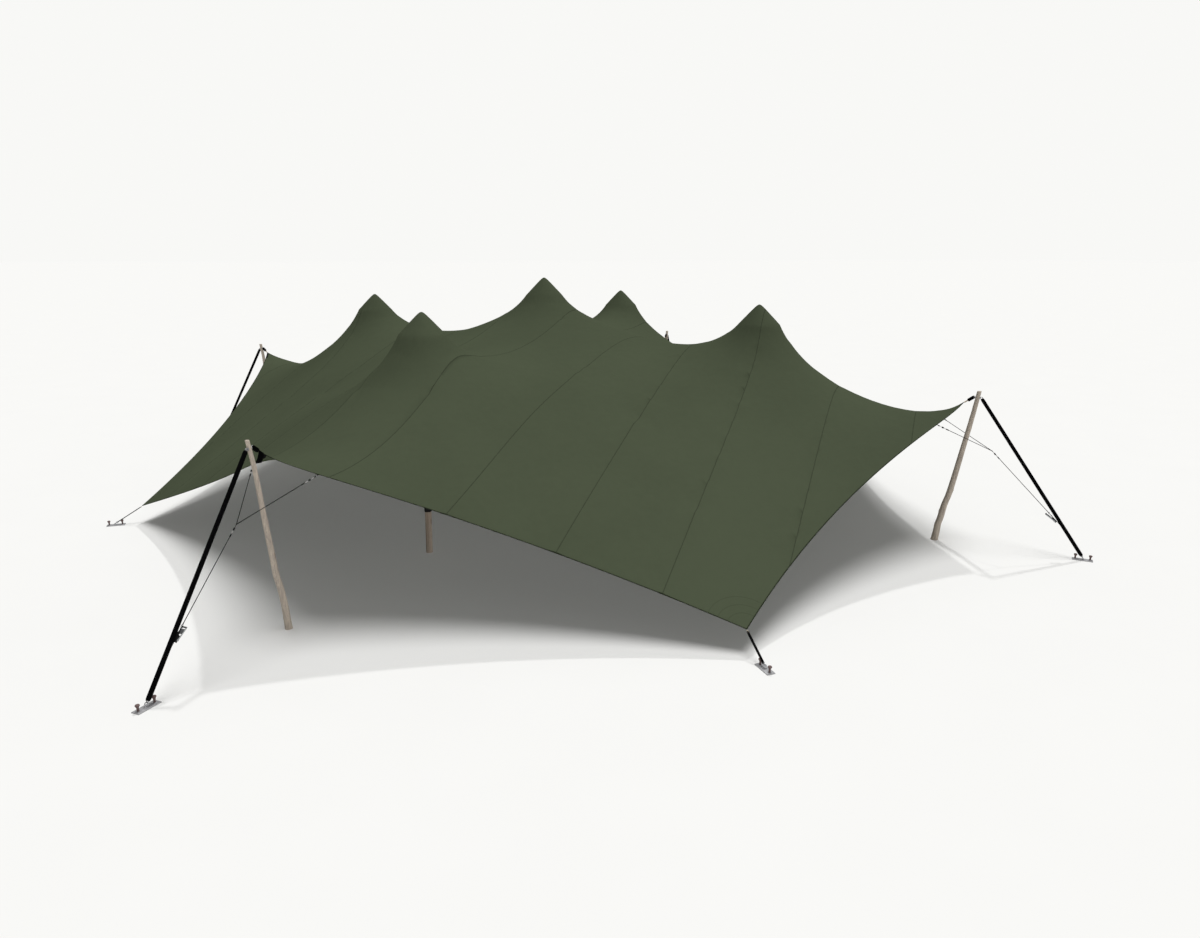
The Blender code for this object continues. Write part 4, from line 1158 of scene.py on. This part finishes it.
def plasticMaterial(name, colour, roughness, fade):
    # Moulded fittings: slightly scuffed, with fine rings from the mould
    made, tree, shader = newMaterial(name, colour, roughness, Specular_IOR_Level=0.25)
    scuff = grainNoise(tree, (160, 160, 60), 4.0, 0.6)
    own = ownPlace(tree)
    rings = calc("SINE", times(own[2], tau / 0.0024))
    tone = fadeBetween(scuff, 0.3, 0.75, 0.85, 1.0 + fade)
    feed(shader, "Base Color", tinted(colour, tone))
    feed(shader, "Roughness", fadeBetween(scuff, 0.2, 0.8, roughness - 0.1, roughness + 0.12))
    setBump(shader, plus(times(rings, 0.3), scuff), 0.2, 0.0004)
    return made


def ropeMaterial(name, colour):
    # Polyester rope: yarns twisted along each strand
    made, tree, shader = newMaterial(name, colour, 0.9, Specular_IOR_Level=0.08)
    own = ownPlace(tree)
    turn = calc("ARCTAN2", own[1], own[0])
    yarn = calc("SINE", plus(times(own[2], tau / 0.0042), times(turn, 5.0)))
    fuzz = grainNoise(tree, (300, 300, 90), 3.0)
    tone = plus(times(yarn, 0.25), fadeBetween(fuzz, 0.3, 0.7, 0.7, 1.4))
    feed(shader, "Base Color", tinted(colour, tone))
    setBump(shader, plus(yarn, fuzz), 0.5, 0.0005)
    return made


# Floor, light and camera

viewSettings = dict(
    place=(-4.87, -16.359, 4.548),
    pitch=80.305,              # degrees from straight down
    heading=-20.199,
    lens=26.265,
    shift=-0.0537,
)


def makeView():
    camera = bpy.data.cameras.new("camera")
    camera.sensor_width = 36
    camera.lens = viewSettings["lens"]
    camera.shift_y = viewSettings["shift"]
    camera.clip_end = 2000
    item = addObject("camera", camera)
    item.location = viewSettings["place"]
    item.rotation_euler = (radians(viewSettings["pitch"]), 0, radians(viewSettings["heading"]))
    bpy.context.scene.camera = item


def addSun(name, energy, angle, travel, shadow=True):
    sun = bpy.data.lights.new(name, "SUN")
    sun.energy = energy
    sun.angle = radians(angle)
    sun.use_shadow = shadow
    addObject(name, sun).rotation_euler = Vector(travel).to_track_quat("-Z", "Y").to_euler()


def makeStudio():
    # A pale endless floor, a broad light overhead, a sharper sun, and two fills that cast no shadow
    settings = dict(sky=(0.94, 0.94, 0.922), glow=0.15, floor=(0.822, 0.82, 0.806), reach=600.0)
    world = bpy.data.worlds.new("studio")
    world.use_nodes = True
    tree = world.node_tree
    sky = tree.nodes["Background"]
    sky.inputs["Color"].default_value = (*settings["sky"], 1)
    seen = addNode(tree, "LightPath", {}).outputs["Is Camera Ray"]
    tree.links.new(fadeBetween(seen, 0.0, 1.0, settings["glow"], 1.0), sky.inputs["Strength"])
    bpy.context.scene.world = world
    addSun("side fill", 0.5, 0.0, (-1.2, 0.12, -1), False)
    addSun("front fill", 0.45, 0.0, (-0.2, 0.9, -0.25), False)
    addSun("overhead", 2.1, 36.0, (-0.02, 0.02, -1))
    addSun("sun", 0.77, 2.0, (-0.32, -0.54, -1))
    bm = bmesh.new()
    bmesh.ops.create_grid(bm, x_segments=1, y_segments=1, size=settings["reach"])
    mesh = bpy.data.meshes.new("floor")
    bm.to_mesh(mesh)
    bm.free()
    finish, tree, shader = newMaterial("pale floor", settings["floor"], 1.0, Specular_IOR_Level=0.0)
    grain = noiseFrom(addNode(tree, "TexCoord", {}).outputs["Object"], 0.8, 2.0)
    tone = fadeBetween(grain, 0.3, 0.7, 0.997, 1.003)
    feed(shader, "Base Color", tinted(settings["floor"], tone))
    mesh.materials.append(finish)
    addObject("floor", mesh)


makeView()
makeStudio()
scene = bpy.context.scene
scene.view_settings.view_transform = "Standard"
canopy, clothSurface = makeCanopy(clothMaterial())
print("canopy", len(canopy.data.polygons), "faces")

sideWood = woodMaterial("weathered pole wood", (0.45, 0.385, 0.325), (0.66, 0.58, 0.48), (0.25, 0.21, 0.19))
innerWood = woodMaterial("brown pole wood", (0.43, 0.345, 0.275), (0.56, 0.465, 0.38), (0.27, 0.205, 0.16))
toggleWood = woodMaterial("pale toggle wood", (0.52, 0.42, 0.3), (0.62, 0.52, 0.39), (0.34, 0.25, 0.16),
    (260, 260, 18), 0.2)
webbing = webbingMaterial("black webbing", (0.0016, 0.0016, 0.0018), 0.0032)
rope = ropeMaterial("black rope", (0.003, 0.003, 0.0034))
galvanised = metalMaterial("galvanised steel", (0.4, 0.4, 0.41), 0.5, 0.35, (0.2, 0.16, 0.13), 0.35)
blackMetal = metalMaterial("black painted steel", (0.006, 0.006, 0.0065), 0.55, 0.0, (0.05, 0.045, 0.04),
    0.25)
zinc = metalMaterial("zinc plated steel", (0.42, 0.43, 0.44), 0.34, 0.9, (0.22, 0.2, 0.18), 0.35)
pegMetal = metalMaterial("rusty brown steel", (0.155, 0.105, 0.1), 0.7, 0.1, (0.2, 0.105, 0.07), 0.6)
darkFitting = plasticMaterial("black fitting", (0.004, 0.004, 0.0045), 0.65, 0.5)
lightFitting = plasticMaterial("pale sleeve", (0.48, 0.48, 0.47), 0.55, 0.1)

for number, name in enumerate(highCorners):
    seed = 1.7 * number + 0.6
    makeSidePole(name, seed, sideWood)
    makeInnerPole(f"inner_pole_{name}", peaks[number + 1], seed + 0.9, innerWood)
    makeGuy(name, seed, webbing, galvanised)
    makeTie(name, webbing, galvanised, toggleWood)
    makeRatchet(name, blackMetal, zinc, webbing)
    makeLever(name, zinc, blackMetal)
    makeBridle(clothSurface, name, rope, darkFitting, lightFitting)
    foot, outward, _ = cornerFrame(name)
    makeAnchor(name, foot + outward * guy["anchorOut"], outward, guyEnds(name)[2], galvanised, pegMetal)
makeInnerPole("centre_pole", peaks[0], 9.1, innerWood)
innerNodes = ["centre_pole"] + [f"inner_pole_{name}" for name in highCorners]
for node, peak in zip(innerNodes, peaks):
    makePoleBand(node, peak, darkFitting)
sewnOn = [makeCornerWebbing(clothSurface, name, webbing) for name in rimNames[1::2]]
for name in lowCorners:
    makeLowCorner(name, webbing, galvanised, toggleWood, pegMetal)
print("poles, straps, anchors, ratchets and bridles made")
